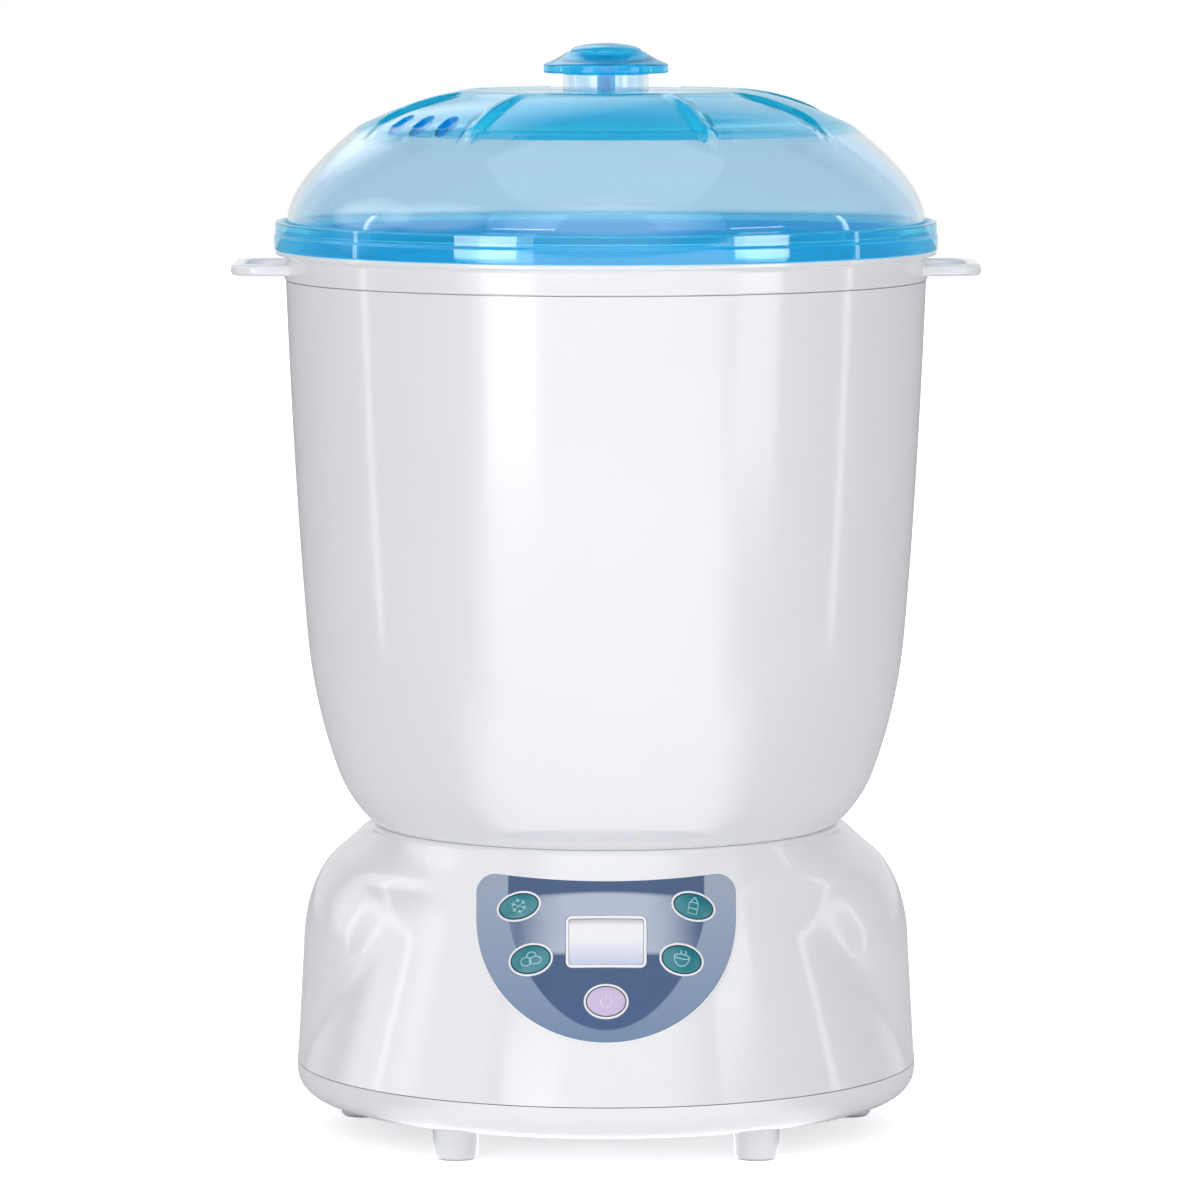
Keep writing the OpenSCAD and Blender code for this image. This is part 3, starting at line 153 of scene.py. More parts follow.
@dataclass(frozen=True)
class Finish:
    """A surface of one colour that varies a little over the piece.

    Attributes:
        name: What the material is and how it was made.
        colour: Main colour.
        shade: Colour of the darker patches.
        roughness: Middle roughness.
        patch: Size of the patches.
        grain: Size of the surface's relief.
        relief: Depth of that relief.
        ior: Index of refraction.
        metallic: 1 for bare metal.
        stretch: How many times longer than wide the patches and relief are along X.
        drift: Share by which the roughness drifts either way.
    """

    name: str
    colour: str
    shade: str
    roughness: float = 0.3
    patch: float = 25
    grain: float = 1.5
    relief: float = 0.01
    ior: float = 1.5
    metallic: float = 0
    stretch: float = 1
    drift: float = 0.1

    def material(self) -> bpy.types.Material:
        """Make the material once, and give the same one after that.

        Returns:
            The material.
        """
        found = bpy.data.materials.get(self.name)
        if found:
            return found
        made = bpy.data.materials.new(self.name)
        tree = bare_tree(made)
        place = add_node(tree, "ShaderNodeTexCoord")["Object"]
        place = add_node(tree, "ShaderNodeMapping", {"Scale": (1 / self.stretch, 1, 1)},
                         {"Vector": place})[0]
        shader = self.shader(tree, place)
        add_node(tree, "ShaderNodeOutputMaterial", links={"Surface": shader})
        return made

    def shader(self, tree: Tree, place: Socket) -> Socket:
        """Lay the finish's nodes.

        Args:
            tree: The material's nodes.
            place: The place on the piece.

        Returns:
            The shader's output.
        """
        return add_node(tree, "ShaderNodeBsdfPrincipled", {"Metallic": self.metallic, "IOR": self.ior},
                        {"Base Color": self.tone(tree, place), "Roughness": self.gloss(tree, place),
                         "Normal": self.skin(tree, place)})[0]

    def tone(self, tree: Tree, place: Socket) -> Socket:
        """Mix the two colours in soft patches.

        Args:
            tree: The material's nodes.
            place: The place on the piece.

        Returns:
            The colour.
        """
        patches = add_node(tree, "ShaderNodeTexNoise", {"Scale": per_mm(self.patch), "Detail": 3.0},
                           {"Vector": place})[0]
        return add_node(tree, "ShaderNodeMix", two_colours(self.colour, self.shade), {0: patches})[2]

    def gloss(self, tree: Tree, place: Socket) -> Socket:
        """Let the roughness drift over patches of half the size.

        Args:
            tree: The material's nodes.
            place: The place on the piece.

        Returns:
            The roughness.
        """
        wear = add_node(tree, "ShaderNodeTexNoise", {"Scale": per_mm(self.patch / 2), "Detail": 4.0},
                        {"Vector": place})[0]
        ends = (self.roughness * (1 - self.drift), self.roughness * (1 + self.drift))
        return add_node(tree, "ShaderNodeMapRange", spans(NOISE_RANGE, ends), {"Value": wear})[0]

    def skin(self, tree: Tree, place: Socket) -> Socket:
        """Raise the fine relief of the surface.

        Args:
            tree: The material's nodes.
            place: The place on the piece.

        Returns:
            The normal.
        """
        relief = add_node(tree, "ShaderNodeTexNoise", {"Scale": per_mm(self.grain), "Detail": 2.0},
                          {"Vector": place})[0]
        return add_node(tree, "ShaderNodeBump", {"Strength": 1.0, "Distance": self.relief * MM},
                        {"Height": relief})[0]


@dataclass(frozen=True)
class ClearPlastic(Finish):
    """Tinted clear plastic, with a painted deeper tint at the crown and at the rim, as painted shade for
    thick plastic seen edge-on.

    Attributes:
        crown: Heights between which the crown's painted deeper tint sets in.
        rim: Heights between which the rim's painted deeper tint fades out.
        crown_painted_share: How much of the painted deeper tint the crown gets.
        rim_painted_share: How much of it the rim gets.
        wing_share: Half of a raised wing's share of the turn from wing to wing, where the crown is paler.
        wing_soft: Width of the change at a wing's edge, as such a share.
        turn: Turn of the piece, in degrees.
        wing_painted_share: How much of the painted deeper tint a raised wing gets.
        core: Radius of a centre post that gets the crown's painted deeper tint.
        painted_glow_share: Share of a painted glow, standing in for light carried through the plastic,
            where the painted tint is deep.
        glow: Colour of that painted glow.
    """

    crown: Point = (350, 354)
    rim: Point = (318, 321)
    crown_painted_share: float = 1.0
    rim_painted_share: float = 1.0
    wing_share: float = 0.0
    wing_soft: float = 0.012
    turn: float = 0.0
    wing_painted_share: float = 0.0
    core: float = 0.0
    painted_glow_share: float = 0.0
    glow: str = "#18a4e4"

    def shader(self, tree: Tree, place: Socket) -> Socket:
        """Lay a clear tinted body that lets lamp light through to what is inside, with a painted glow
        where the tint is deep.

        Args:
            tree: The material's nodes.
            place: The place on the piece.

        Returns:
            The shader's output.
        """
        body = add_node(tree, "ShaderNodeBsdfPrincipled",
                        {"Roughness": self.roughness, "IOR": self.ior, "Transmission Weight": 1.0},
                        {"Base Color": self.tone(tree, place),
                         "Normal": self.skin(tree, place)})[0]
        # Painted glow: diffuse and translucent blue mixed in where the painted tint is deep, standing in
        # for light carried through the plastic
        if self.painted_glow_share:
            share = add_node(tree, "ShaderNodeMath", {"operation": "MULTIPLY", 1: self.painted_glow_share},
                             {0: self.depth(tree, place)})[0]
            front = add_node(tree, "ShaderNodeBsdfDiffuse", {"Color": linear(self.glow)})[0]
            back = add_node(tree, "ShaderNodeBsdfTranslucent", {"Color": linear(self.glow)})[0]
            painted_glow = add_node(tree, "ShaderNodeMixShader", links={1: front, 2: back})[0]
            body = add_node(tree, "ShaderNodeMixShader", links={0: share, 1: body, 2: painted_glow})[0]
        light = add_node(tree, "ShaderNodeBsdfTransparent", {"Color": linear(self.colour)})[0]
        shadow = add_node(tree, "ShaderNodeLightPath")["Is Shadow Ray"]
        return add_node(tree, "ShaderNodeMixShader", links={0: shadow, 1: body, 2: light})[0]

    def tone(self, tree: Tree, place: Socket) -> Socket:
        """Mix the pale tint and the painted deeper tint.

        Args:
            tree: The material's nodes.
            place: The place on the piece.

        Returns:
            The tint.
        """
        deep = self.depth(tree, place)
        return add_node(tree, "ShaderNodeMix", two_colours(self.colour, self.shade), {0: deep})[2]

    def depth(self, tree: Tree, place: Socket) -> Socket:
        """Paint the deeper tint, as painted shade, by height, between the wings, and at the centre post.

        Args:
            tree: The material's nodes.
            place: The place on the piece.

        Returns:
            The share of the painted deeper tint.
        """
        height = add_node(tree, "ShaderNodeSeparateXYZ", links={0: place})["Z"]
        # Painted shade: the rim and the crown between the wings get a deeper tint
        low = add_node(tree, "ShaderNodeMapRange",
                       spans([z * MM for z in self.rim], (self.rim_painted_share, 0.0)), {"Value": height})[0]
        high = add_node(tree, "ShaderNodeMapRange",
                        spans([z * MM for z in self.crown], (0.0, self.crown_painted_share)), {"Value": height})[0]
        flat = add_node(tree, "ShaderNodeMapping", {"Rotation": (0, 0, -math.radians(self.turn))},
                        {"Vector": place})[0]
        round_share = add_node(tree, "ShaderNodeTexGradient", {"gradient_type": "RADIAL"},
                               {"Vector": flat})["Fac"]
        sector = add_node(tree, "ShaderNodeMath", {"operation": "MULTIPLY", 1: WINGS},
                          {0: round_share})[0]
        sector = add_node(tree, "ShaderNodeMath", {"operation": "FRACT"}, {0: sector})[0]
        aside = add_node(tree, "ShaderNodeMath", {"operation": "SUBTRACT", 1: 0.5}, {0: sector})[0]
        aside = add_node(tree, "ShaderNodeMath", {"operation": "ABSOLUTE"}, {0: aside})[0]
        edge = (self.wing_share - self.wing_soft, self.wing_share)
        between = add_node(tree, "ShaderNodeMapRange", spans(edge, (self.wing_painted_share, 1.0)),
                           {"Value": aside})[0]
        high = add_node(tree, "ShaderNodeMath", {"operation": "MULTIPLY"}, {0: high, 1: between})[0]
        depth = add_node(tree, "ShaderNodeMath", {"operation": "MAXIMUM"}, {0: low, 1: high})[0]
        if self.core:
            level = add_node(tree, "ShaderNodeVectorMath", {"operation": "MULTIPLY", 1: (1, 1, 0)},
                             {0: place})[0]
            out = add_node(tree, "ShaderNodeVectorMath", {"operation": "LENGTH"},
                           {0: level})["Value"]
            post = add_node(tree, "ShaderNodeMath", {"operation": "LESS_THAN", 1: self.core * MM},
                            {0: out})[0]
            depth = add_node(tree, "ShaderNodeMath", {"operation": "MAXIMUM"},
                             {0: depth, 1: post})[0]
        return depth


@dataclass(frozen=True)
class PanelFace:
    """The housing's front slope: u runs across it, v up the slope and h out of its surface.

    Attributes:
        base_r: Radius at the seam.
        neck_r: Radius at the neck.
        z_seam: Height of the seam.
        z_neck: Height of the neck.
        drop: Depth of the panel's centre below the neck.
        panel_r: Half width of the panel and radius of its lower edge.
        panel_top: Height of the panel over its centre, in the middle.
        panel_sweep: Radius of the hollow sweep of its upper edge.
        panel_corner: Rounding of its upper corners.
    """

    base_r: float = 109
    neck_r: float = 82.5
    z_seam: float = 24
    z_neck: float = 108
    drop: float = 20.5
    panel_r: float = 44.5
    panel_top: float = 11.2
    panel_sweep: float = 180
    panel_corner: float = 6

    @property
    def tilt(self) -> float:
        """Give the slope's lean from upright, in radians."""
        return math.atan((self.base_r - self.neck_r) / (self.z_neck - self.z_seam))

    @property
    def centre(self) -> Vector:
        """Give the panel's centre, in millimetres."""
        z = self.z_neck - self.drop
        return Vector((0, -self.cone_r(z), z))

    def cone_r(self, z: float) -> float:
        """Give the radius of the front cone at a height."""
        return self.neck_r + (self.z_neck - z) * math.tan(self.tilt)

    def at(self, u: float, v: float, h: float) -> Vector:
        """Find a point over the curved slope.

        Args:
            u: Distance across the panel.
            v: Distance up the slope.
            h: Height over the surface.

        Returns:
            The point, in millimetres.
        """
        t = self.tilt
        reach = -self.centre.y - v * math.sin(t)
        sag = math.cos(t) * (math.sqrt(reach ** 2 - u ** 2 * math.cos(2 * t)) - reach) / math.cos(2 * t)
        w = sag + h
        return self.centre + Vector((u, v * math.sin(t) - w * math.cos(t),
                                     v * math.cos(t) + w * math.sin(t)))

    def drape(self, bm: Mesh) -> None:
        """Move a flat mesh, laid out in u, v and h, onto the slope."""
        for vert in bm.verts:
            vert.co = self.at(*(vert.co / MM)) * MM


FACE = PanelFace()


def on_panel(tree: Tree, place: Socket) -> list[Socket]:
    """Turn a place on a piece into a place on the panel.

    Args:
        tree: The material's nodes.
        place: The place on the piece.

    Returns:
        The distances across, up and out of the panel, in millimetres.
    """
    flat = add_node(tree, "ShaderNodeMapping",
                    {"vector_type": "TEXTURE", "Location": FACE.centre * MM,
                     "Rotation": (math.pi / 2 - FACE.tilt, 0, 0), "Scale": (MM, MM, MM)},
                    {"Vector": place})[0]
    return list(add_node(tree, "ShaderNodeSeparateXYZ", links={0: flat}))


@dataclass(frozen=True)
class PrintedOverlay(Finish):
    """Glossy printed overlay: a pale ring round a dark field, both fading down the panel.

    Attributes:
        ring_low: Colour of the ring at the bottom.
        field_top: Colour of the field at the top.
        field_low: Colour of the field at the bottom.
        half_w: Half width of the field.
        depth: Depth of the field below the panel's centre.
        powers: Squareness of the field's lower edge, across and down.
        film_mid: Depth of the middle of the film's flat part below the panel's centre.
        film_half: Half height of that flat part.
        film_lift: Distance over which the film turns up beyond it.
        film_turn: Angle by which it turns up, in degrees.
        film_ior: Index of refraction of the film, raised by the air caught under it.
        edge_soft: Half width of the change from field to ring, as a share of the field.
    """

    ring_low: str = "#8299b8"
    field_top: str = "#3f5e8a"
    field_low: str = "#3c5f90"
    half_w: float = 33.5
    depth: float = 40.1
    powers: Point = (2.0, 1.4)
    film_mid: float = 3.4
    film_half: float = 9
    film_lift: float = 2.5
    film_turn: float = 22
    film_ior: float = 2.3
    edge_soft: float = 0.015

    def shader(self, tree: Tree, place: Socket) -> Socket:
        """Lay flat ink under a clear film, whose flat part mirrors light as a band across the field.

        Args:
            tree: The material's nodes.
            place: The place on the piece.

        Returns:
            The shader's output.
        """
        up = on_panel(tree, place)[1]
        off = add_node(tree, "ShaderNodeMath", {"operation": "ADD", 1: self.film_mid}, {0: up})[0]
        off = add_node(tree, "ShaderNodeMath", {"operation": "ABSOLUTE"}, {0: off})[0]
        lift = (self.film_half, self.film_half + self.film_lift)
        turn = add_node(tree, "ShaderNodeMapRange", spans(lift, (0.0, -math.radians(self.film_turn))),
                        {"Value": off})[0]
        out = add_node(tree, "ShaderNodeNewGeometry")["Normal"]
        film = add_node(tree, "ShaderNodeVectorRotate", {"rotation_type": "X_AXIS"},
                        {"Vector": out, "Angle": turn})[0]
        return add_node(tree, "ShaderNodeBsdfPrincipled",
                        {"Specular IOR Level": 0.0, "Coat Roughness": self.roughness,
                         "Coat IOR": self.film_ior},
                        {"Base Color": self.tone(tree, place), "Roughness": self.gloss(tree, place),
                         "Normal": self.skin(tree, place), "Coat Normal": film,
                         "Coat Weight": self.field(tree, place)})[0]

    def tone(self, tree: Tree, place: Socket) -> Socket:
        """Paint the ring and the field from the place on the panel.

        Args:
            tree: The material's nodes.
            place: The place on the piece.

        Returns:
            The colour.
        """
        up = on_panel(tree, place)[1]
        fall = add_node(tree, "ShaderNodeMapRange", spans((FACE.panel_top, -FACE.panel_r)),
                        {"Value": up})[0]
        ring = add_node(tree, "ShaderNodeMix", two_colours(self.colour, self.ring_low), {0: fall})[2]
        dark = add_node(tree, "ShaderNodeMix", two_colours(self.field_top, self.field_low), {0: fall})[2]
        return add_node(tree, "ShaderNodeMix", {"data_type": "RGBA"},
                        {0: self.field(tree, place), 6: ring, 7: dark})[2]

    def field(self, tree: Tree, place: Socket) -> Socket:
        """Find the dark field.

        Args:
            tree: The material's nodes.
            place: The place on the piece.

        Returns:
            1 inside the field and 0 on the ring.
        """
        across, up, _ = on_panel(tree, place)
        side = add_node(tree, "ShaderNodeMath", {"operation": "ABSOLUTE"}, {0: across})[0]
        side = add_node(tree, "ShaderNodeMath", {"operation": "DIVIDE", 1: self.half_w},
                        {0: side})[0]
        down = add_node(tree, "ShaderNodeMath", {"operation": "DIVIDE", 1: -self.depth}, {0: up})[0]
        down = add_node(tree, "ShaderNodeMath", {"operation": "MAXIMUM", 1: 0.0}, {0: down})[0]
        powers = [add_node(tree, "ShaderNodeMath", {"operation": "POWER", 1: p}, {0: s})[0]
                  for s, p in zip((side, down), self.powers)]
        total = add_node(tree, "ShaderNodeMath", {"operation": "ADD"}, dict(enumerate(powers)))[0]
        edge = (1 - self.edge_soft, 1 + self.edge_soft)
        return add_node(tree, "ShaderNodeMapRange", spans(edge, (1.0, 0.0)), {"Value": total})[0]


@dataclass(frozen=True)
class DisplayWindow(Finish):
    """Clear window over a pale display, with a painted shadow under its upper edge and a painted
    reflection towards its lower edge; its shade colour is that painted shadow.

    Attributes:
        low: Colour of the painted reflection along the lower edge.
        upper: Height of the upper edge over the panel's centre.
        lower: Height of the lower edge over the panel's centre.
        painted_shadow_h: Height of the painted shadow under the upper edge.
    """

    low: str = "#c3cbe6"
    upper: float = -1.8
    lower: float = -17.7
    painted_shadow_h: float = 2.2

    def tone(self, tree: Tree, place: Socket) -> Socket:
        """Fade the display from the painted shadow under its upper edge to the painted reflection at its
        lower edge.

        Args:
            tree: The material's nodes.
            place: The place on the piece.

        Returns:
            The colour.
        """
        up = on_panel(tree, place)[1]
        fall = add_node(tree, "ShaderNodeMapRange", spans((self.lower / 2, self.lower)), {"Value": up})[0]
        shade = add_node(tree, "ShaderNodeMapRange", spans((self.upper - self.painted_shadow_h, self.upper)),
                         {"Value": up})[0]
        glow = add_node(tree, "ShaderNodeMix", two_colours(self.colour, self.low), {0: fall})[2]
        return add_node(tree, "ShaderNodeMix", {"data_type": "RGBA", 7: linear(self.shade)},
                        {0: shade, 6: glow})[2]


@dataclass(frozen=True)
class CircuitBoard(Finish):
    """Green solder mask over copper tracks, drawn as a coarse grid that shows at this size.

    Attributes:
        track: Length of a track.
        track_w: Width of a track, as a share of its length.
        copper: Colour of a track through the mask.
    """

    track: float = 9
    track_w: float = 0.03
    copper: str = "#6f9a5a"

    def tone(self, tree: Tree, place: Socket) -> Socket:
        """Draw the tracks as lines in the mask.

        Args:
            tree: The material's nodes.
            place: The place on the piece.

        Returns:
            The colour.
        """
        return add_node(tree, "ShaderNodeTexBrick",
                        {"Color1": linear(self.colour), "Color2": linear(self.shade),
                         "Mortar": linear(self.copper), "Scale": per_mm(self.track),
                         "Mortar Size": self.track_w}, {"Vector": place})[0]


# ABS, moulded in a polished tool: a bright skin with a faint drift of tone
WHITE_SHELL = Finish("polished_white_abs", "#f2f3f6", "#edeef2", roughness=0.14, patch=45, grain=9,
                     relief=0.006, ior=1.54)
# Polypropylene, moulded in a satin tool: a duller white for the pieces inside
WHITE_INNER = Finish("satin_white_pp", "#eeedf0", "#e7e6ea", roughness=0.35, patch=30, grain=1.2,
                     relief=0.01)
# Polycarbonate, moulded clear and polished: a pale dome, with a painted deep blue and a painted glow at
# the rim and at the crown between the wings, as painted shade for thick plastic seen edge-on
CLEAR_LID = ClearPlastic("clear_blue_polycarbonate", "#cfe8f5", "#2cd4f6", roughness=0.03, grain=14,
                         relief=0.004, ior=1.58, rim_painted_share=0.8, wing_share=0.192, turn=LID_TURN,
                         wing_painted_share=0.55, painted_glow_share=0.32, glow="#18d8f4")
# The same polycarbonate in the knob: a painted deep blue and a painted glow on cap, foot and post round a
# pale stem
CLEAR_KNOB = ClearPlastic("clear_blue_polycarbonate_knob", "#dceffa", "#58d8f8", roughness=0.03, grain=10,
                          relief=0.004, ior=1.58, crown=(370, 371), rim=(364, 365), core=3.6, painted_glow_share=0.25,
                          glow="#30d0f2")
# Polycarbonate lining the vents' walls, painted the deepest blue with a painted glow, for the deep blue
# that shows through the vents
VENT_PAINTED_BLUE = ClearPlastic("painted_deep_blue_vent_lining", "#45c8f0", "#2cb8ec", roughness=0.05, grain=3,
                         relief=0.004, ior=1.58, crown=(0, 1), rim=(-2, -1), painted_glow_share=0.6, glow="#1cc4f2")
# Polypropylene, moulded clear: paler than the lid and a little cloudy
CLEAR_TRAY = ClearPlastic("clear_blue_polypropylene_tray", "#d6ecf7", "#a3e0f7", roughness=0.2, grain=6,
                          relief=0.01, ior=1.49, crown=(400, 401), rim=(200, 201))
# Polyester film, printed on its back: gloss over flat ink
OVERLAY = PrintedOverlay("printed_polyester_film", "#a7b3c8", "#a7b3c8", roughness=0.08, grain=7,
                         relief=0.01)
# ABS, coloured through and moulded: a soft shine over teal
TEAL_KEY = Finish("glossy_teal_abs", "#0d7e8b", "#0b7482", roughness=0.24, patch=6, grain=3, relief=0.008)
# ABS, coloured through and moulded: the same soft shine over lilac
LILAC_KEY = Finish("glossy_lilac_abs", "#d0c1e2", "#c6b7d9", roughness=0.24, patch=6, grain=3,
                   relief=0.008)
# ABS, moulded thin: clean bright lines round panel, keys and display
WHITE_TRIM = Finish("white_trim_abs", "#f7f8fb", "#f0f1f5", roughness=0.2, patch=8, grain=2, relief=0.004)
# Ink, printed on the teal keys: flat, pale lines
ICON_INK = Finish("pale_key_ink", "#bfe3e4", "#a9d6d8", roughness=0.5, patch=2, grain=0.8, relief=0.004)
# Ink, printed on the lilac key: flat, almost white lines
POWER_INK = Finish("pale_power_ink", "#f3eefa", "#e9e2f3", roughness=0.5, patch=2, grain=0.8,
                   relief=0.004)
# Acrylic, cast and polished over a pale display: a smooth face with a painted shadow under its upper edge
# and a painted reflection at its lower edge
DISPLAY = DisplayWindow("display_window", "#f1f3f7", "#b6b2c0", roughness=0.08, grain=20, relief=0.002,
                        ior=1.49)
# Stainless steel sheet with the fine lines of its rolling
STEEL = Finish("brushed_stainless_steel", "#c7c9cb", "#b4b7ba", roughness=0.26, patch=2.5, grain=0.6,
               relief=0.004, metallic=1, stretch=24)
# Aluminium, cast in a mould: grey, with a dull and grainy skin
CAST_ALUMINIUM = Finish("cast_aluminium", "#b7babd", "#a3a7ab", roughness=0.45, patch=4, grain=0.9,
                        relief=0.02, metallic=1)
# Silicone rubber, moulded: pale and without shine
SILICONE = Finish("pale_silicone_rubber", "#dcdcdf", "#d2d2d6", roughness=0.6, patch=6, grain=0.7,
                  relief=0.012, ior=1.41)
# Solder mask, coated on a glass fibre board: satin green with paler tracks under it
BOARD = CircuitBoard("green_solder_mask", "#2b6a43", "#24603b", roughness=0.35, grain=1.2, relief=0.01)
# Nylon, moulded in a spark-eroded tool: nearly black and finely textured
DARK_PLASTIC = Finish("dark_moulded_nylon", "#3b3e43", "#33363b", roughness=0.45, patch=8, grain=0.8,
                      relief=0.012)
# Nylon, moulded and left undyed: cream, with the same fine texture
PALE_PLASTIC = Finish("cream_moulded_nylon", "#e2dfd6", "#d8d4c9", roughness=0.4, patch=8, grain=0.8,
                      relief=0.012)
# Polyester, moulded as a closed case: an even blue with a low shine
RELAY_BLUE = Finish("blue_moulded_case", "#2d5f92", "#275484", roughness=0.3, patch=6, grain=1,
                    relief=0.01)
# PVC, drawn over the wires: satin red
WIRE = Finish("red_wire_sleeve", "#a23c33", "#93342c", roughness=0.4, patch=4, grain=0.6, relief=0.01)


class Body(str, Enum):
    """The moving bodies that pieces ride on."""

    BASE = "base"
    BOWL = "bowl"
    LID = "lid"


class Slot(str, Enum):
    """Names of the record's material slots."""

    WHITE = "white_plastic"
    CLEAR = "clear_blue"
    TEAL = "key_teal"
    LILAC = "key_lilac"


class Edge(float, Enum):
    """Roundings of moulded edges: how far each runs along its two faces."""

    CRISP = 0.2
    FINE = 0.3
    SMALL = 0.4
    SOFT = 0.5
    ROUND = 0.6
    FULL = 0.8


@dataclass(frozen=True)
class Corner:
    """A corner of a turned profile.

    Attributes:
        r: Distance from the axis.
        z: Height.
        reach: How far the corner's rounding runs along its two edges.
    """

    r: float
    z: float
    reach: float = 0


def corners(points: Sequence[Point]) -> list[Corner]:
    """Make plain corners of a curve's points."""
    return [Corner(*p) for p in points]


def on_circle(centre: Point, r: float, angle: float) -> Point:
    """Find the point of a circle at an angle in degrees."""
    a = math.radians(angle)
    return centre[0] + r * math.cos(a), centre[1] + r * math.sin(a)


def arc(centre: Point, r: float, start: float, end: float, steps: int) -> list[Point]:
    """Lay points along a circular arc between two angles in degrees."""
    return [on_circle(centre, r, start + (end - start) * i / steps) for i in range(steps + 1)]


def oval_arc(centre: Point, radii: Point, start: float, end: float, steps: int = 20) -> list[Point]:
    """Lay points along an arc of an oval between two angles in degrees."""
    unit = arc((0, 0), 1, start, end, steps)
    return [(centre[0] + x * radii[0], centre[1] + y * radii[1]) for x, y in unit]


def bend(a: Point, b: Point, c: Point, steps: int) -> list[Point]:
    """Lay the points after a of a curve that leaves a towards b and comes into c from b."""
    shares = [i / steps for i in range(1, steps + 1)]
    return [tuple(a[k] * (1 - t) ** 2 + b[k] * 2 * t * (1 - t) + c[k] * t * t for k in (0, 1))
            for t in shares]


def turned(profile: Sequence[Corner], steps: int, ring: bool = False) -> Mesh:
    """Turn a profile round the Z axis.

    Args:
        profile: The profile's corners in order.
        steps: Number of steps in the turn.
        ring: Whether the profile closes on itself rather than ending on the axis.

    Returns:
        The closed mesh, in metres.
    """
    bm = bmesh.new()
    verts = [bm.verts.new((c.r * MM, 0, c.z * MM)) for c in profile]
    for first, second in zip(verts, verts[1:] + verts[:1] if ring else verts[1:]):
        bm.edges.new((first, second))
    for vert, corner in zip(verts, profile):
        if corner.reach:
            bmesh.ops.bevel(bm, geom=[vert], offset=corner.reach * MM, affect="VERTICES",
                            segments=ROUND_SEGMENTS, profile=0.5, material=-1)
    bmesh.ops.spin(bm, geom=bm.verts[:] + bm.edges[:], axis=(0, 0, 1), cent=(0, 0, 0), angle=math.tau,
                   steps=steps, use_merge=True)
    bmesh.ops.remove_doubles(bm, verts=bm.verts, dist=MERGE_DISTANCE)
    bmesh.ops.recalc_face_normals(bm, faces=bm.faces)
    return bm


def plate(outline: Sequence[Point], low: float, high: float) -> Mesh:
    """Raise a flat outline into a plate.

    Args:
        outline: Corners of the outline.
        low: Height of the lower face.
        high: Height of the upper face.

    Returns:
        The closed mesh, in metres.
    """
    bm = bmesh.new()
    face = bm.faces.new([bm.verts.new((x * MM, y * MM, low * MM)) for x, y in outline])
    raised = bmesh.ops.extrude_face_region(bm, geom=[face], use_keep_orig=True)["geom"]
    top = [v for v in raised if isinstance(v, bmesh.types.BMVert)]
    bmesh.ops.translate(bm, verts=top, vec=(0, 0, (high - low) * MM))
    bmesh.ops.recalc_face_normals(bm, faces=bm.faces)
    return bm


def to_object(name: str, bm: Mesh) -> bpy.types.Object:
    """Put a mesh into the scene, smooth but for its sharp edges.

    Args:
        name: The piece's name.
        bm: The mesh, which is used up.

    Returns:
        The object, at the origin.
    """
    for item in bm.faces:
        item.smooth = True
    for edge in bm.edges:
        edge.smooth = len(edge.link_faces) == 2 and edge.calc_face_angle() < SHARP_ANGLE
    mesh = bpy.data.meshes.new(name)
    bm.to_mesh(mesh)
    bm.free()
    made = bpy.data.objects.new(name, mesh)
    bpy.context.scene.collection.objects.link(made)
    made.modifiers.new("flat_faces_stay_flat", "WEIGHTED_NORMAL").keep_sharp = True
    return made


def piece(name: str, bm: Mesh, finish: Finish, body: str,
          nodes: Sequence[str] = ()) -> None:
    """Finish a mesh as a piece of the object.

    Args:
        name: The piece's name.
        bm: The mesh, which is used up.
        finish: Its finish.
        body: The body that it rides on.
        nodes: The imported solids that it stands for.
    """
    made = to_object(name, bm)
    made.data.materials.append(finish.material())
    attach(made, body)
    if nodes:
        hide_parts(*nodes)
    log.info("piece %s on %s: %d faces", name, body, len(made.data.polygons))


def carved(bm: Mesh, cutters: Sequence[Mesh]) -> Mesh:
    """Cut openings out of a closed mesh.

    Args:
        bm: The closed mesh, which is used up.
        cutters: Closed meshes of the openings, which are used up.

    Returns:
        The cut mesh.
    """
    work = to_object("carving", bm)
    tools = [to_object(f"carving_tool_{i}", cutter) for i, cutter in enumerate(cutters)]
    for tool in tools:
        cut = work.modifiers.new(tool.name, "BOOLEAN")
        cut.operation = "DIFFERENCE"
        cut.solver = "EXACT"
        cut.object = tool
    shape = work.evaluated_get(bpy.context.evaluated_depsgraph_get())
    result = bmesh.new()
    result.from_mesh(shape.data)
    for used in (work, *tools):
        bpy.data.meshes.remove(used.data)
    return result


def blended(a: float, b: float, width: float) -> float:
    """Take the larger of two lengths, rounding off the valley where they meet."""
    near = max(width - abs(a - b), 0) / width
    return max(a, b) + near * near * width / 4


def eased(share: float) -> float:
    """Ease a share from 0 to 1 in and out."""
    t = min(max(share, 0), 1)
    return t * t * (3 - 2 * t)


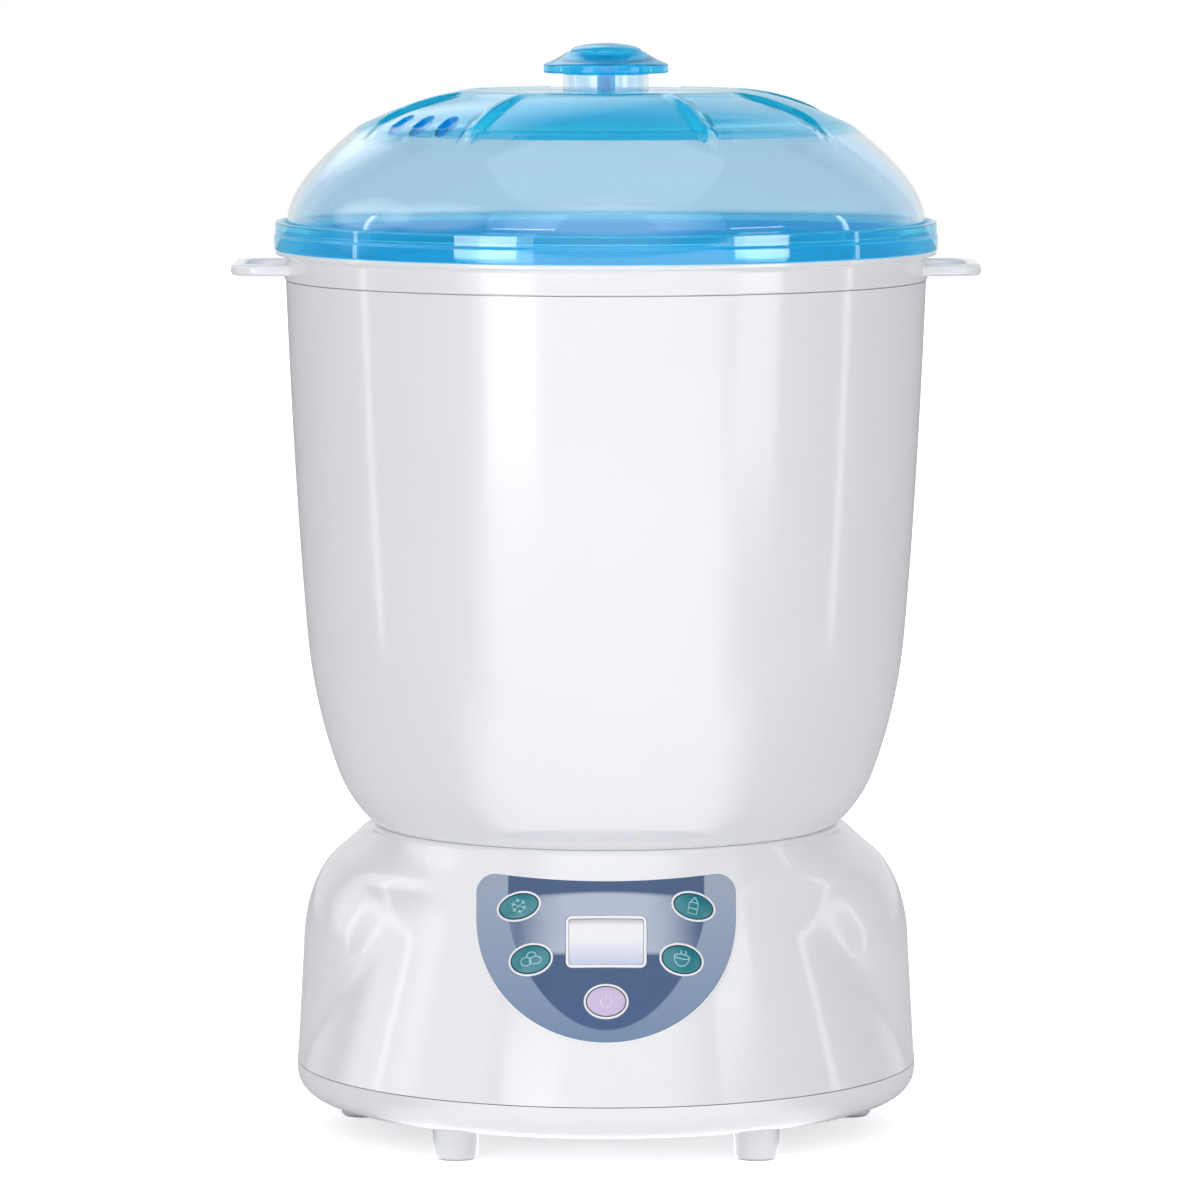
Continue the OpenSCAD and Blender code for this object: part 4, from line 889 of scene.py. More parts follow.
@dataclass(frozen=True)
class Lobe:
    """One pair of round lobes on the housing, each turned about its own upright axis.

    Attributes:
        axis_x: Distance of the axes from the middle.
        foot: Reach of the lobes at the seam.
        reach: Reach of the lobes where they stand upright.
        z_reach: Height of that place.
        low_r: Radius of the lower arc of the shoulder.
        high_r: Radius of the upper arc.
        turn: Angle at which the arcs meet, in degrees.
        z_end: Height of the lobes' tops.
    """

    axis_x: float
    foot: float
    reach: float
    z_reach: float
    low_r: float
    high_r: float
    turn: float
    z_end: float

    def reach_at(self, z: float) -> float:
        """Give the reach of a lobe at a height.

        Args:
            z: The height.

        Returns:
            The distance from the middle to the lobe's side.
        """
        if z <= self.z_reach:
            share = (self.z_reach - z) / (self.z_reach - FACE.z_seam)
            return self.reach + (self.foot - self.reach) * share
        turn = math.radians(self.turn)
        x, y = self.reach - self.low_r, self.z_reach
        r = self.low_r
        if z > y + r * math.sin(turn):
            x += (self.low_r - self.high_r) * math.cos(turn)
            y += (self.low_r - self.high_r) * math.sin(turn)
            r = self.high_r
        return x + math.sqrt(max(r * r - (z - y) ** 2, 0))

    def radius(self, angle: float, z: float) -> float:
        """Give the distance from the middle to the lobes in a direction.

        Args:
            angle: The direction from +X, in radians.
            z: The height.

        Returns:
            The distance, or 0 where the lobes aren't met.
        """
        r = self.reach_at(z) - self.axis_x
        ahead, aside = self.axis_x * abs(math.cos(angle)), self.axis_x * math.sin(angle)
        if z > self.z_end or r <= abs(aside):
            return 0
        return ahead + math.sqrt(r * r - aside * aside)


@dataclass
class BaseUnit:
    """The base's lobed housing, with the flat pad round its gland, and the feet.

    Attributes:
        wall: Wall of the housing.
        neck_edge: Rounding of the neck's top edge.
        ledge_r: Radius of the ledge that carries the dish.
        z_ledge: Height of that ledge.
        hole_r: Radius of the dish's hole.
        z_roof: Height of the roof's underside.
        seam_gap: Open line between housing and cover.
        valley: Width of the rounded valleys between the lobes and the cone, at the neck.
        valley_low: Their width at the seam.
        upper: The upper lobes.
        side: The side lobes.
        z_waist: Height from which the profile's levels lie closer together.
        z_shoulder: Height from which they lie closest.
        level_steps: Distances between levels on the three stretches, from the seam up.
        level_counts: Numbers of levels on them.
        turn_steps: Steps of the housing's turn.
        opening_in: How far the opening behind the panel is drawn in from the panel's edge.
        opening_h: Heights over the slope between which it is cut.
        gland_z: Height of the mains gland.
        gland_pad_r: Radius of the flat pad round the gland.
        gland_pad_l: Length of that pad into the housing.
        foot_r: Radius of a foot.
        foot_taper: How much smaller that radius is at the foot's lower end.
        foot_edge: Rounding of the foot's lower edge.
        foot_places: Angles of the feet from the front, in degrees.
        foot_circle: Radius of the circle of the feet.
        foot_steps: Steps of the turns of foot and pad.
        z_cover: Height of the cover's underside.
        pad_r: Radius of the recess that holds a rubber pad.
        pad_out: How far the rubber pad stands out of the foot.
        pad_seat: Depth of the recess.
    """

    wall: float = 2.4
    neck_edge: float = 3
    ledge_r: float = 70
    z_ledge: float = 104.5
    hole_r: float = 61
    z_roof: float = 102.1
    seam_gap: float = 0.1
    valley: float = 5
    valley_low: float = 0.5
    upper: Lobe = Lobe(axis_x=23, foot=97.2, reach=97.2, z_reach=90, low_r=10, high_r=52, turn=38.4,
                       z_end=106.5)
    side: Lobe = Lobe(axis_x=47, foot=108.85, reach=106.6, z_reach=64.7, low_r=60, high_r=26, turn=20,
                      z_end=100.7)
    z_waist: float = 65
    z_shoulder: float = 90
    level_steps: tuple[float, ...] = (2.5, 1.25, 0.75)
    level_counts: tuple[int, ...] = (16, 20, 20)
    turn_steps: int = 288
    opening_in: float = 3
    opening_h: Point = (-30, 20)
    gland_z: float = 40
    gland_pad_r: float = 11
    gland_pad_l: float = 15
    foot_r: float = 8
    foot_taper: float = 0.5
    foot_edge: float = 1.0
    foot_places: tuple[float, ...] = (36, -36, 100, -100, 180)
    foot_circle: float = 88
    foot_steps: int = 64
    z_cover: float = 12
    pad_r: float = 6.6
    pad_out: float = 0.6
    pad_seat: float = 1

    def build(self) -> None:
        """Build the base's pieces."""
        self.housing()
        self.gland_pad()
        self.feet()

    def form_r(self, angle: float, z: float, plain: float) -> float:
        """Give the housing's outer radius in a direction.

        Args:
            angle: The direction from +X, in radians.
            z: The height.
            plain: The radius without the lobes.

        Returns:
            The radius with the lobes blended in.
        """
        rise = (z - FACE.z_seam) / (FACE.z_neck - FACE.z_seam)
        valley = self.valley_low + (self.valley - self.valley_low) * eased(rise)
        lobes = blended(self.upper.radius(angle, z), self.side.radius(angle, z), valley)
        return blended(plain, lobes, valley)

    def housing_profile(self) -> list[Corner]:
        """Give the housing's closed profile without its lobes.

        Returns:
            The corners, from the seam up the outside and back down the inside.
        """
        z_low = FACE.z_seam + self.seam_gap / 2
        z_round = FACE.z_neck - self.neck_edge
        runs = zip((z_low, self.z_waist, self.z_shoulder), self.level_steps, self.level_counts)
        levels = [start + i * step for start, step, count in runs for i in range(count)]
        outside = [(FACE.cone_r(z), z) for z in levels if z < z_round]
        edge_r = FACE.cone_r(z_round + self.neck_edge * math.sin(FACE.tilt))
        edge_r -= self.neck_edge * math.cos(FACE.tilt)
        edge = arc((edge_r, z_round), self.neck_edge, math.degrees(FACE.tilt), 90, steps=8)
        inside = [(FACE.cone_r(z) - self.wall, z) for z in reversed(levels) if z < self.z_roof]
        return corners(outside + edge) + [
            Corner(self.ledge_r, FACE.z_neck, Edge.FULL), Corner(self.ledge_r, self.z_ledge, Edge.FINE),
            Corner(self.hole_r, self.z_ledge, Edge.SMALL), Corner(self.hole_r, self.z_roof, Edge.FINE),
            Corner(FACE.cone_r(self.z_roof) - self.wall, self.z_roof)] + corners(inside)

    def housing(self) -> None:
        """Build the lobed housing with the opening behind its panel."""
        bm = turned(self.housing_profile(), ring=True, steps=self.turn_steps)
        for vert in bm.verts:
            r = math.hypot(vert.co.x, vert.co.y) / MM
            z = vert.co.z / MM
            cone = FACE.cone_r(z)
            angle = math.atan2(vert.co.y, vert.co.x)
            if r > cone - self.wall / 2:
                grown = self.form_r(angle, z, r)
            elif r > self.ledge_r + NEAR and z < self.z_roof + NEAR:
                grown = self.form_r(angle, z, cone) - self.wall
            else:
                continue
            vert.co.xy *= grown / r
        opening = plate(ControlPanel.outline(self.opening_in), *self.opening_h)
        FACE.drape(opening)
        piece("housing", carved(bm, [opening]), WHITE_SHELL, Body.BASE, ["base_housing"])

    def gland_pad(self) -> None:
        """Build the flat pad at the back that the gland sits on."""
        y = FACE.cone_r(self.gland_z - self.gland_pad_r)
        pad = turned([Corner(0, 0), Corner(self.gland_pad_r, 0, Edge.ROUND),
                      Corner(self.gland_pad_r, -self.gland_pad_l), Corner(0, -self.gland_pad_l)],
                     steps=self.foot_steps)
        place = Matrix.Translation(Vector((0, y, self.gland_z)) * MM)
        place @= Matrix.Rotation(-math.pi / 2, 4, "X")
        bmesh.ops.transform(pad, matrix=place, verts=pad.verts)
        piece("gland_pad", pad, WHITE_SHELL, Body.BASE)

    def feet(self) -> None:
        """Build the five feet with their rounded lower edges."""
        z_recess = self.pad_out + self.pad_seat
        profile = [Corner(0, z_recess), Corner(self.pad_r, z_recess),
                   Corner(self.pad_r, self.pad_out, Edge.CRISP),
                   Corner(self.foot_r - self.foot_taper, self.pad_out, self.foot_edge),
                   Corner(self.foot_r, self.z_cover), Corner(0, self.z_cover)]
        bm = bmesh.new()
        for angle in self.foot_places:
            foot = turned(profile, steps=self.foot_steps)
            place = Matrix.Rotation(-math.radians(angle), 4, "Z")
            place @= Matrix.Translation((0, -self.foot_circle * MM, 0))
            bmesh.ops.transform(foot, matrix=place, verts=foot.verts)
            mesh = bpy.data.meshes.new("foot")
            foot.to_mesh(mesh)
            foot.free()
            bm.from_mesh(mesh)
            bpy.data.meshes.remove(mesh)
        piece("moulded_feet", bm, WHITE_SHELL, Body.BASE, ["feet"])


class KeyIcon(Enum):
    """Plain line signs on the keys."""

    SNOW = "snow"
    BOTTLE = "bottle"
    FRUIT = "fruit"
    BOWL = "bowl"
    POWER = "power"

    def strokes(self) -> list[list[Point]]:
        """Give the sign's lines.

        Returns:
            Lists of points, in millimetres about the key's middle.
        """
        if self is KeyIcon.SNOW:
            return self.crystal()
        if self is KeyIcon.BOTTLE:
            body = [(-1.3, 1.2), (-1.5, 0.7), (-1.5, -2.7), (1.5, -2.7), (1.5, 0.7), (1.3, 1.2),
                    (-1.3, 1.2)]
            teat = [(-1.1, 1.3), (-0.9, 2.0), (-0.35, 2.4), (-0.3, 3.0), (0.3, 3.0), (0.35, 2.4),
                    (0.9, 2.0), (1.1, 1.3)]
            level = [(-1.5, -0.9), (1.5, -0.9)]
            return [body, teat, level]
        if self is KeyIcon.FRUIT:
            return [oval_arc((-1.7, -0.5), (1.7, 1.5), 0, 360), oval_arc((1.5, -0.6), (2.0, 1.3), 0, 360),
                    oval_arc((0.4, 1.3), (1.6, 1.1), -20, 200)]
        if self is KeyIcon.BOWL:
            steam = [(-0.8, 1.9), (-0.3, 2.5), (-0.8, 3.1)]
            return [oval_arc((0, 0.9), (2.6, 0.8), 0, 360), oval_arc((0, 0.9), (2.6, 3.3), 180, 360),
                    steam, [(x + 1.6, y) for x, y in steam]]
        return [oval_arc((0, -0.2), (1.9, 1.9), 125, 415), [(0, 0.3), (0, 2.3)]]

    @staticmethod
    def crystal(spoke: float = 2.7, fork: float = 1.6, twig: float = 1.0,
                spread: float = 55) -> list[list[Point]]:
        """Give the lines of a six-armed crystal.

        Args:
            spoke: Length of an arm.
            fork: Distance of the twigs from the middle.
            twig: Length of a twig.
            spread: Angle between twig and arm, in degrees.

        Returns:
            The arms, and then the pairs of twigs.
        """
        ends = [on_circle((0, 0), spoke, way) for way in (30, 90, 150)]
        lines = [[(-x, -y), (x, y)] for x, y in ends]
        for way in range(30, 390, 60):
            root = on_circle((0, 0), fork, way)
            lines.append([on_circle(root, twig, way - spread), root, on_circle(root, twig, way + spread)])
        return lines


@dataclass(frozen=True)
class Key:
    """One oval key.

    Attributes:
        body: The body that it is.
        node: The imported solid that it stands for.
        u: Distance across the panel.
        v: Distance up the panel.
        tilt: Tilt on the panel, in degrees.
        height: Its height.
        icon: The sign on it.
    """

    body: str
    node: str
    u: float
    v: float
    tilt: float
    height: float
    icon: KeyIcon


@dataclass
class ControlPanel:
    """The control panel's white bead, and its keys with their bezels and signs.

    Attributes:
        key_w: Width of a key.
        key_top: Height of a key's middle over the housing's slope.
        key_fall: Fall of a key's top to its edge.
        key_depth: Depth of a key's underside below the slope.
        key_edge: Rounding of a key's upper edge.
        key_gap: Clearance round a key.
        crown_steps: Steps from a key's middle to its edge.
        oval_steps: Steps round a key.
        bezel_w: Width of a key's white bezel.
        bezel_h: Heights of the bezels' lower and upper face.
        line_r: Radius of a sign's raised line.
        bead_edges: How far the bead runs inside and outside the panel's edge.
        bead_h: Heights of the bead's lower and upper face.
        bead_cut: Half height of the cutter that opens the bead.
        drape_step: Distance between the cuts at which the bead bends.
        drape_cuts: Number of those cuts on each side of the middle.
        keys: The five keys.
    """

    key_w: float = 13.2
    key_top: float = 1.35
    key_fall: float = 0.45
    key_depth: float = 1.2
    key_edge: float = 0.35
    key_gap: float = 0.3
    crown_steps: int = 8
    oval_steps: int = 72
    bezel_w: float = 0.75
    bezel_h: Point = (0.1, 0.6)
    line_r: float = 0.17
    bead_edges: Point = (0.1, 0.55)
    bead_h: Point = (-0.3, 0.45)
    bead_cut: float = 2
    drape_step: float = 1.5
    drape_cuts: int = 28
    keys: tuple[Key, ...] = (
        Key("upper_left_button", "key_upper_left", -29.8, 3.2, 11, 8.2, KeyIcon.SNOW),
        Key("upper_right_button", "key_upper_right", 29.8, 3.2, -11, 8.2, KeyIcon.BOTTLE),
        Key("lower_left_button", "key_lower_left", -25.7, -15.4, 9, 9.2, KeyIcon.FRUIT),
        Key("lower_right_button", "key_lower_right", 25.7, -15.4, -9, 9.2, KeyIcon.BOWL),
        Key("power_button", "power_key", 0, -30.3, 0, 10, KeyIcon.POWER),
    )

    @staticmethod
    def outline(inset: float) -> list[Point]:
        """Give the panel's outline.

        Args:
            inset: How far it is drawn in.

        Returns:
            The points, round from the left.
        """
        side = FACE.panel_r - FACE.panel_corner
        reach = FACE.panel_sweep + FACE.panel_corner
        sweep_y = FACE.panel_top + FACE.panel_sweep
        corner_y = sweep_y - math.sqrt(reach ** 2 - side ** 2)
        lean = math.degrees(math.asin(side / reach))
        low = arc((0, 0), FACE.panel_r - inset, 180, 360, steps=48)
        right = arc((side, corner_y), FACE.panel_corner - inset, 0, 90 + lean, steps=10)
        sweep = arc((0, sweep_y), FACE.panel_sweep + inset, 270 + lean, 270 - lean, steps=40)
        return low + right + sweep[1:-1] + [(-x, y) for x, y in reversed(right)]

    def build(self) -> None:
        """Build the panel's pieces."""
        self.bead()
        for key in self.keys:
            self.key(key)
            self.bezel(key)
            self.icon(key)

    def oval(self, bm: Mesh, key: Key) -> None:
        """Press a turned mesh of a key's width into the key's oval, and set it on the panel.

        Args:
            bm: The mesh.
            key: The key.
        """
        half_w, half_h = self.key_w / 2, key.height / 2
        for vert in bm.verts:
            x, y, h = vert.co / MM
            r, a = math.hypot(x, y), math.atan2(y, x)
            edge = Vector((half_w * math.cos(a), half_h * math.sin(a)))
            normal = Vector((half_h * math.cos(a), half_w * math.sin(a))).normalized()
            spot = edge + normal * (r - half_w) if r > half_w else edge * (r / half_w)
            vert.co = Vector((spot.x, spot.y, h)) * MM
        self.settle(bm, key)

    @staticmethod
    def settle(bm: Mesh, key: Key) -> None:
        """Turn and move a mesh from a key's middle to its place, and drape it on the panel.

        Args:
            bm: The mesh.
            key: The key.
        """
        turn = Matrix.Rotation(math.radians(key.tilt), 4, "Z")
        place = Matrix.Translation(Vector((key.u, key.v, 0)) * MM) @ turn
        bmesh.ops.transform(bm, matrix=place, verts=bm.verts)
        FACE.drape(bm)

    def top_at(self, share: float) -> float:
        """Give the height of a key's top at a share of the way from its middle to its edge."""
        return self.key_top - self.key_fall * share ** 2

    def key(self, key: Key) -> None:
        """Build a key's crowned cap with a rounded edge.

        Args:
            key: The key.
        """
        half = self.key_w / 2
        shares = [i / self.crown_steps for i in range(self.crown_steps)]
        profile = [Corner(half * s, self.top_at(s)) for s in shares]
        profile += [Corner(half, self.top_at(1), self.key_edge), Corner(half, -self.key_depth),
                    Corner(0, -self.key_depth)]
        cap = turned(profile, steps=self.oval_steps)
        self.oval(cap, key)
        lilac = key.icon is KeyIcon.POWER
        piece(f"{key.node}_cap", cap, LILAC_KEY if lilac else TEAL_KEY, key.body,
              [key.node])

    def bezel(self, key: Key) -> None:
        """Build the white bezel on the panel round a key.

        Args:
            key: The key.
        """
        inner = self.key_w / 2 + self.key_gap
        outer = inner + self.bezel_w
        low, high = self.bezel_h
        ring = turned([Corner(inner, low), Corner(outer, low), Corner(outer, high, Edge.CRISP),
                       Corner(inner, high, Edge.CRISP)], ring=True, steps=self.oval_steps)
        self.oval(ring, key)
        piece(f"{key.node}_bezel", ring, WHITE_TRIM, Body.BASE)

    def icon(self, key: Key) -> None:
        """Build the raised lines of a key's sign.

        Args:
            key: The key.
        """
        curve = bpy.data.curves.new("sign", "CURVE")
        curve.dimensions = "3D"
        curve.bevel_depth = self.line_r * MM
        curve.bevel_resolution = 1
        curve.use_fill_caps = True
        for stroke in key.icon.strokes():
            spline = curve.splines.new("POLY")
            spline.points.add(len(stroke) - 1)
            for spot, (x, y) in zip(spline.points, stroke):
                share = math.hypot(2 * x / self.key_w, 2 * y / key.height)
                spot.co = (x * MM, y * MM, self.top_at(share) * MM, 1)
        holder = bpy.data.objects.new("sign", curve)
        bpy.context.scene.collection.objects.link(holder)
        shape = holder.evaluated_get(bpy.context.evaluated_depsgraph_get())
        bm = bmesh.new()
        bm.from_mesh(shape.to_mesh())
        bpy.data.objects.remove(holder)
        bpy.data.curves.remove(curve)
        self.settle(bm, key)
        ink = POWER_INK if key.icon is KeyIcon.POWER else ICON_INK
        piece(f"{key.node}_sign", bm, ink, key.body)

    def bead(self) -> None:
        """Build the thin white bead round the panel."""
        inside, outside = self.bead_edges
        opening = plate(self.outline(inside), -self.bead_cut, self.bead_cut)
        bm = carved(plate(self.outline(-outside), *self.bead_h), [opening])
        for i in range(-self.drape_cuts, self.drape_cuts + 1):
            bmesh.ops.bisect_plane(bm, geom=bm.verts[:] + bm.edges[:] + bm.faces[:], dist=MERGE_DISTANCE,
                                   plane_co=(i * self.drape_step * MM, 0, 0), plane_no=(1, 0, 0))
        FACE.drape(bm)
        piece("panel_bead", bm, WHITE_TRIM, Body.BASE)


@dataclass
class Bowl:
    """The bowl with its rim collar and two loop handles.

    Attributes:
        z_neck: Height of the neck that it stands on.
        neck_r: Radius at the neck.
        bowl_r: Radius under the collar.
        wall: Wall of the bowl.
        foot_rise: Height of the heel over the neck.
        heel_r: Radius of the heel's curve.
        heel_from: Slope at which the heel starts, in degrees.
        heel_to: Slope at which the heel runs into the next curve, in degrees.
        turn_r: Radius of the curve above the heel.
        turn_to: Slope at which that curve runs into the side, in degrees.
        side_ease: Share of the side's height that its pulling point lies up.
        z_band: Height of the collar's lower edge.
        z_rim: Height of the rim.
        z_seat: Height of the lid's seat.
        z_floor: Height of the floor.
        z_under: Height of the floor's underside.
        z_lip: Height of the lower end of the lip round the floor's opening.
        lip_r: Inner and outer radius of that lip.
        foot_r: Inner and outer radius of the foot ring.
        rim_r: Inner and outer radius of the rim.
        rim_step: Height over which the wall runs into the rim on the inside.
        fit: Clearance between rim and collar.
        band_gap: Open line under the collar's band.
        band_edges: Roundings of the band's lower and upper edge.
        flange_drop: Height of the slope under the collar's flange.
        collar_r: Radius of the band.
        flange_r: Inner and outer radius of the flange.
        handle_x: Distances of a handle's two ends from the middle.
        handle_half: Half width of a handle.
        handle_bar: Width of its bar.
        handle_corner: Rounding of its outer corners.
        corner_segments: Segments of that rounding.
        handle_edge: Rounding of the bar's edges.
        handle_z: Heights of its lower and upper face.
        turn_steps: Steps of the turns.
    """

    z_neck: float = 108
    neck_r: float = 82.5
    bowl_r: float = 112
    wall: float = 2.6
    foot_rise: float = 1
    heel_r: float = 46
    heel_from: float = 47
    heel_to: float = 20
    turn_r: float = 185
    turn_to: float = 5
    side_ease: float = 0.39
    z_band: float = 298.8
    z_rim: float = 308
    z_seat: float = 309.6
    z_floor: float = 114.4
    z_under: float = 112
    z_lip: float = 108.2
    lip_r: Point = (62.45, 65.05)
    foot_r: Point = (76.5, 81)
    rim_r: Point = (107.6, 110.6)
    rim_step: float = 1.4
    fit: float = 0.1
    band_gap: float = 0.3
    band_edges: Point = (0.7, 1.2)
    flange_drop: float = 0.5
    collar_r: float = 112.5
    flange_r: Point = (106.5, 115.5)
    handle_x: Point = (107.9, 130.7)
    handle_half: float = 23.5
    handle_bar: float = 4.6
    handle_corner: float = 11
    corner_segments: int = 12
    handle_edge: float = 1.5
    handle_z: Point = (300.9, 305.1)
    turn_steps: int = 256

    def build(self) -> None:
        """Build the bowl's pieces."""
        self.shell()
        self.collar()
        self.handles()

    @staticmethod
    def out_of(slope: float) -> Vector:
        """Give the direction, outwards and upwards, out of a wall that leans by a slope in degrees."""
        lean = math.radians(slope)
        return Vector((math.cos(lean), -math.sin(lean)))

    def side(self, inset: float, start: float) -> list[Point]:
        """Give the wall's curve from the heel up to the collar.

        Args:
            inset: How far it is drawn in.
            start: Slope at which it starts, in degrees.

        Returns:
            The points, from the bottom up.
        """
        heel = Vector((self.neck_r, self.z_neck + self.foot_rise))
        heel -= self.heel_r * self.out_of(self.heel_from)
        wide = heel + (self.heel_r - self.turn_r) * self.out_of(self.heel_to)
        last = wide + (self.turn_r - inset) * self.out_of(self.turn_to)
        rise = self.side_ease * (self.z_band - last.y)
        pull = last + rise * Vector((math.tan(math.radians(self.turn_to)), 1))
        points = arc(tuple(heel), self.heel_r - inset, -start, -self.heel_to, steps=16)
        points += arc(tuple(wide), self.turn_r - inset, -self.heel_to, -self.turn_to, steps=18)[1:]
        return points + bend(tuple(last), tuple(pull), (self.bowl_r - inset, self.z_band), steps=22)

    def shell(self) -> None:
        """Build the deep bowl with its foot ring, floor lip and stepped rim."""
        heel_z = self.z_neck + self.foot_rise + self.heel_r * math.sin(math.radians(self.heel_from))
        start = math.degrees(math.asin((heel_z - self.z_floor) / (self.heel_r - self.wall)))
        rim_in, rim_out = self.rim_r
        lip_in, lip_out = self.lip_r
        profile = [Corner(r, self.z_neck, Edge.SOFT) for r in self.foot_r]
        profile += corners(self.side(0, self.heel_from))
        profile += [Corner(rim_out, self.z_band), Corner(rim_out, self.z_rim, Edge.FINE),
                    Corner(rim_in, self.z_rim, Edge.FINE), Corner(rim_in, self.z_band + self.rim_step)]
        profile += corners(self.side(self.wall, start)[::-1])
        profile += [Corner(lip_in, self.z_floor, Edge.ROUND), Corner(lip_in, self.z_lip, Edge.SMALL),
                    Corner(lip_out, self.z_lip, Edge.SMALL), Corner(lip_out, self.z_under, Edge.ROUND),
                    Corner(self.foot_r[0], self.z_under, Edge.ROUND)]
        bm = turned(profile, ring=True, steps=self.turn_steps)
        piece("bowl_moulding", bm, WHITE_SHELL, Body.BOWL, ["bowl_shell"])

    def collar(self) -> None:
        """Build the rim collar with its rounded band and flange."""
        inner = self.rim_r[1] + self.fit
        low = self.z_band + self.band_gap
        low_edge, high_edge = self.band_edges
        flange_in, flange_out = self.flange_r
        profile = [Corner(inner, low), Corner(self.collar_r, low, low_edge),
                   Corner(self.collar_r, self.z_rim - self.flange_drop, high_edge),
                   Corner(flange_out, self.z_rim, Edge.SMALL), Corner(flange_out, self.z_seat, Edge.SMALL),
                   Corner(flange_in, self.z_seat, Edge.SOFT), Corner(flange_in, self.z_rim, Edge.SOFT),
                   Corner(inner, self.z_rim)]
        bm = turned(profile, ring=True, steps=self.turn_steps)
        piece("collar_moulding", bm, WHITE_SHELL, Body.BOWL, ["rim_collar"])

    def handles(self) -> None:
        """Build the two loop handles as rounded bars."""
        near, far = self.handle_x
        low, high = self.handle_z
        half = self.handle_half
        spots = ((near, -half), (far, -half), (far, half), (near, half))
        for name, side in (("right_handle", 0), ("left_handle", math.pi)):
            bm = bmesh.new()
            verts = [bm.verts.new((x * MM, y * MM, low * MM)) for x, y in spots]
            bm.faces.new(verts)
            bmesh.ops.bevel(bm, geom=verts[1:3], offset=self.handle_corner * MM, affect="VERTICES",
                            segments=self.corner_segments, profile=0.5, material=-1)
            middle = bm.faces[:][0]
            bmesh.ops.inset_region(bm, faces=[middle], thickness=self.handle_bar * MM, use_boundary=True,
                                   use_even_offset=True)
            bmesh.ops.delete(bm, geom=[middle], context="FACES_ONLY")
            grown = bmesh.ops.extrude_face_region(bm, geom=bm.faces[:], use_keep_orig=True)["geom"]
            top = [v for v in grown if isinstance(v, bmesh.types.BMVert)]
            bmesh.ops.translate(bm, verts=top, vec=(0, 0, (high - low) * MM))
            bmesh.ops.recalc_face_normals(bm, faces=bm.faces)
            edges = [e for e in bm.edges if e.calc_face_angle(0) > SQUARE_ANGLE]
            bmesh.ops.bevel(bm, geom=edges, offset=self.handle_edge * MM, affect="EDGES",
                            segments=ROUND_SEGMENTS, profile=0.5, material=-1)
            bmesh.ops.rotate(bm, verts=bm.verts, matrix=Matrix.Rotation(side, 3, "Z"))
            piece(name, bm, WHITE_SHELL, Body.BOWL)


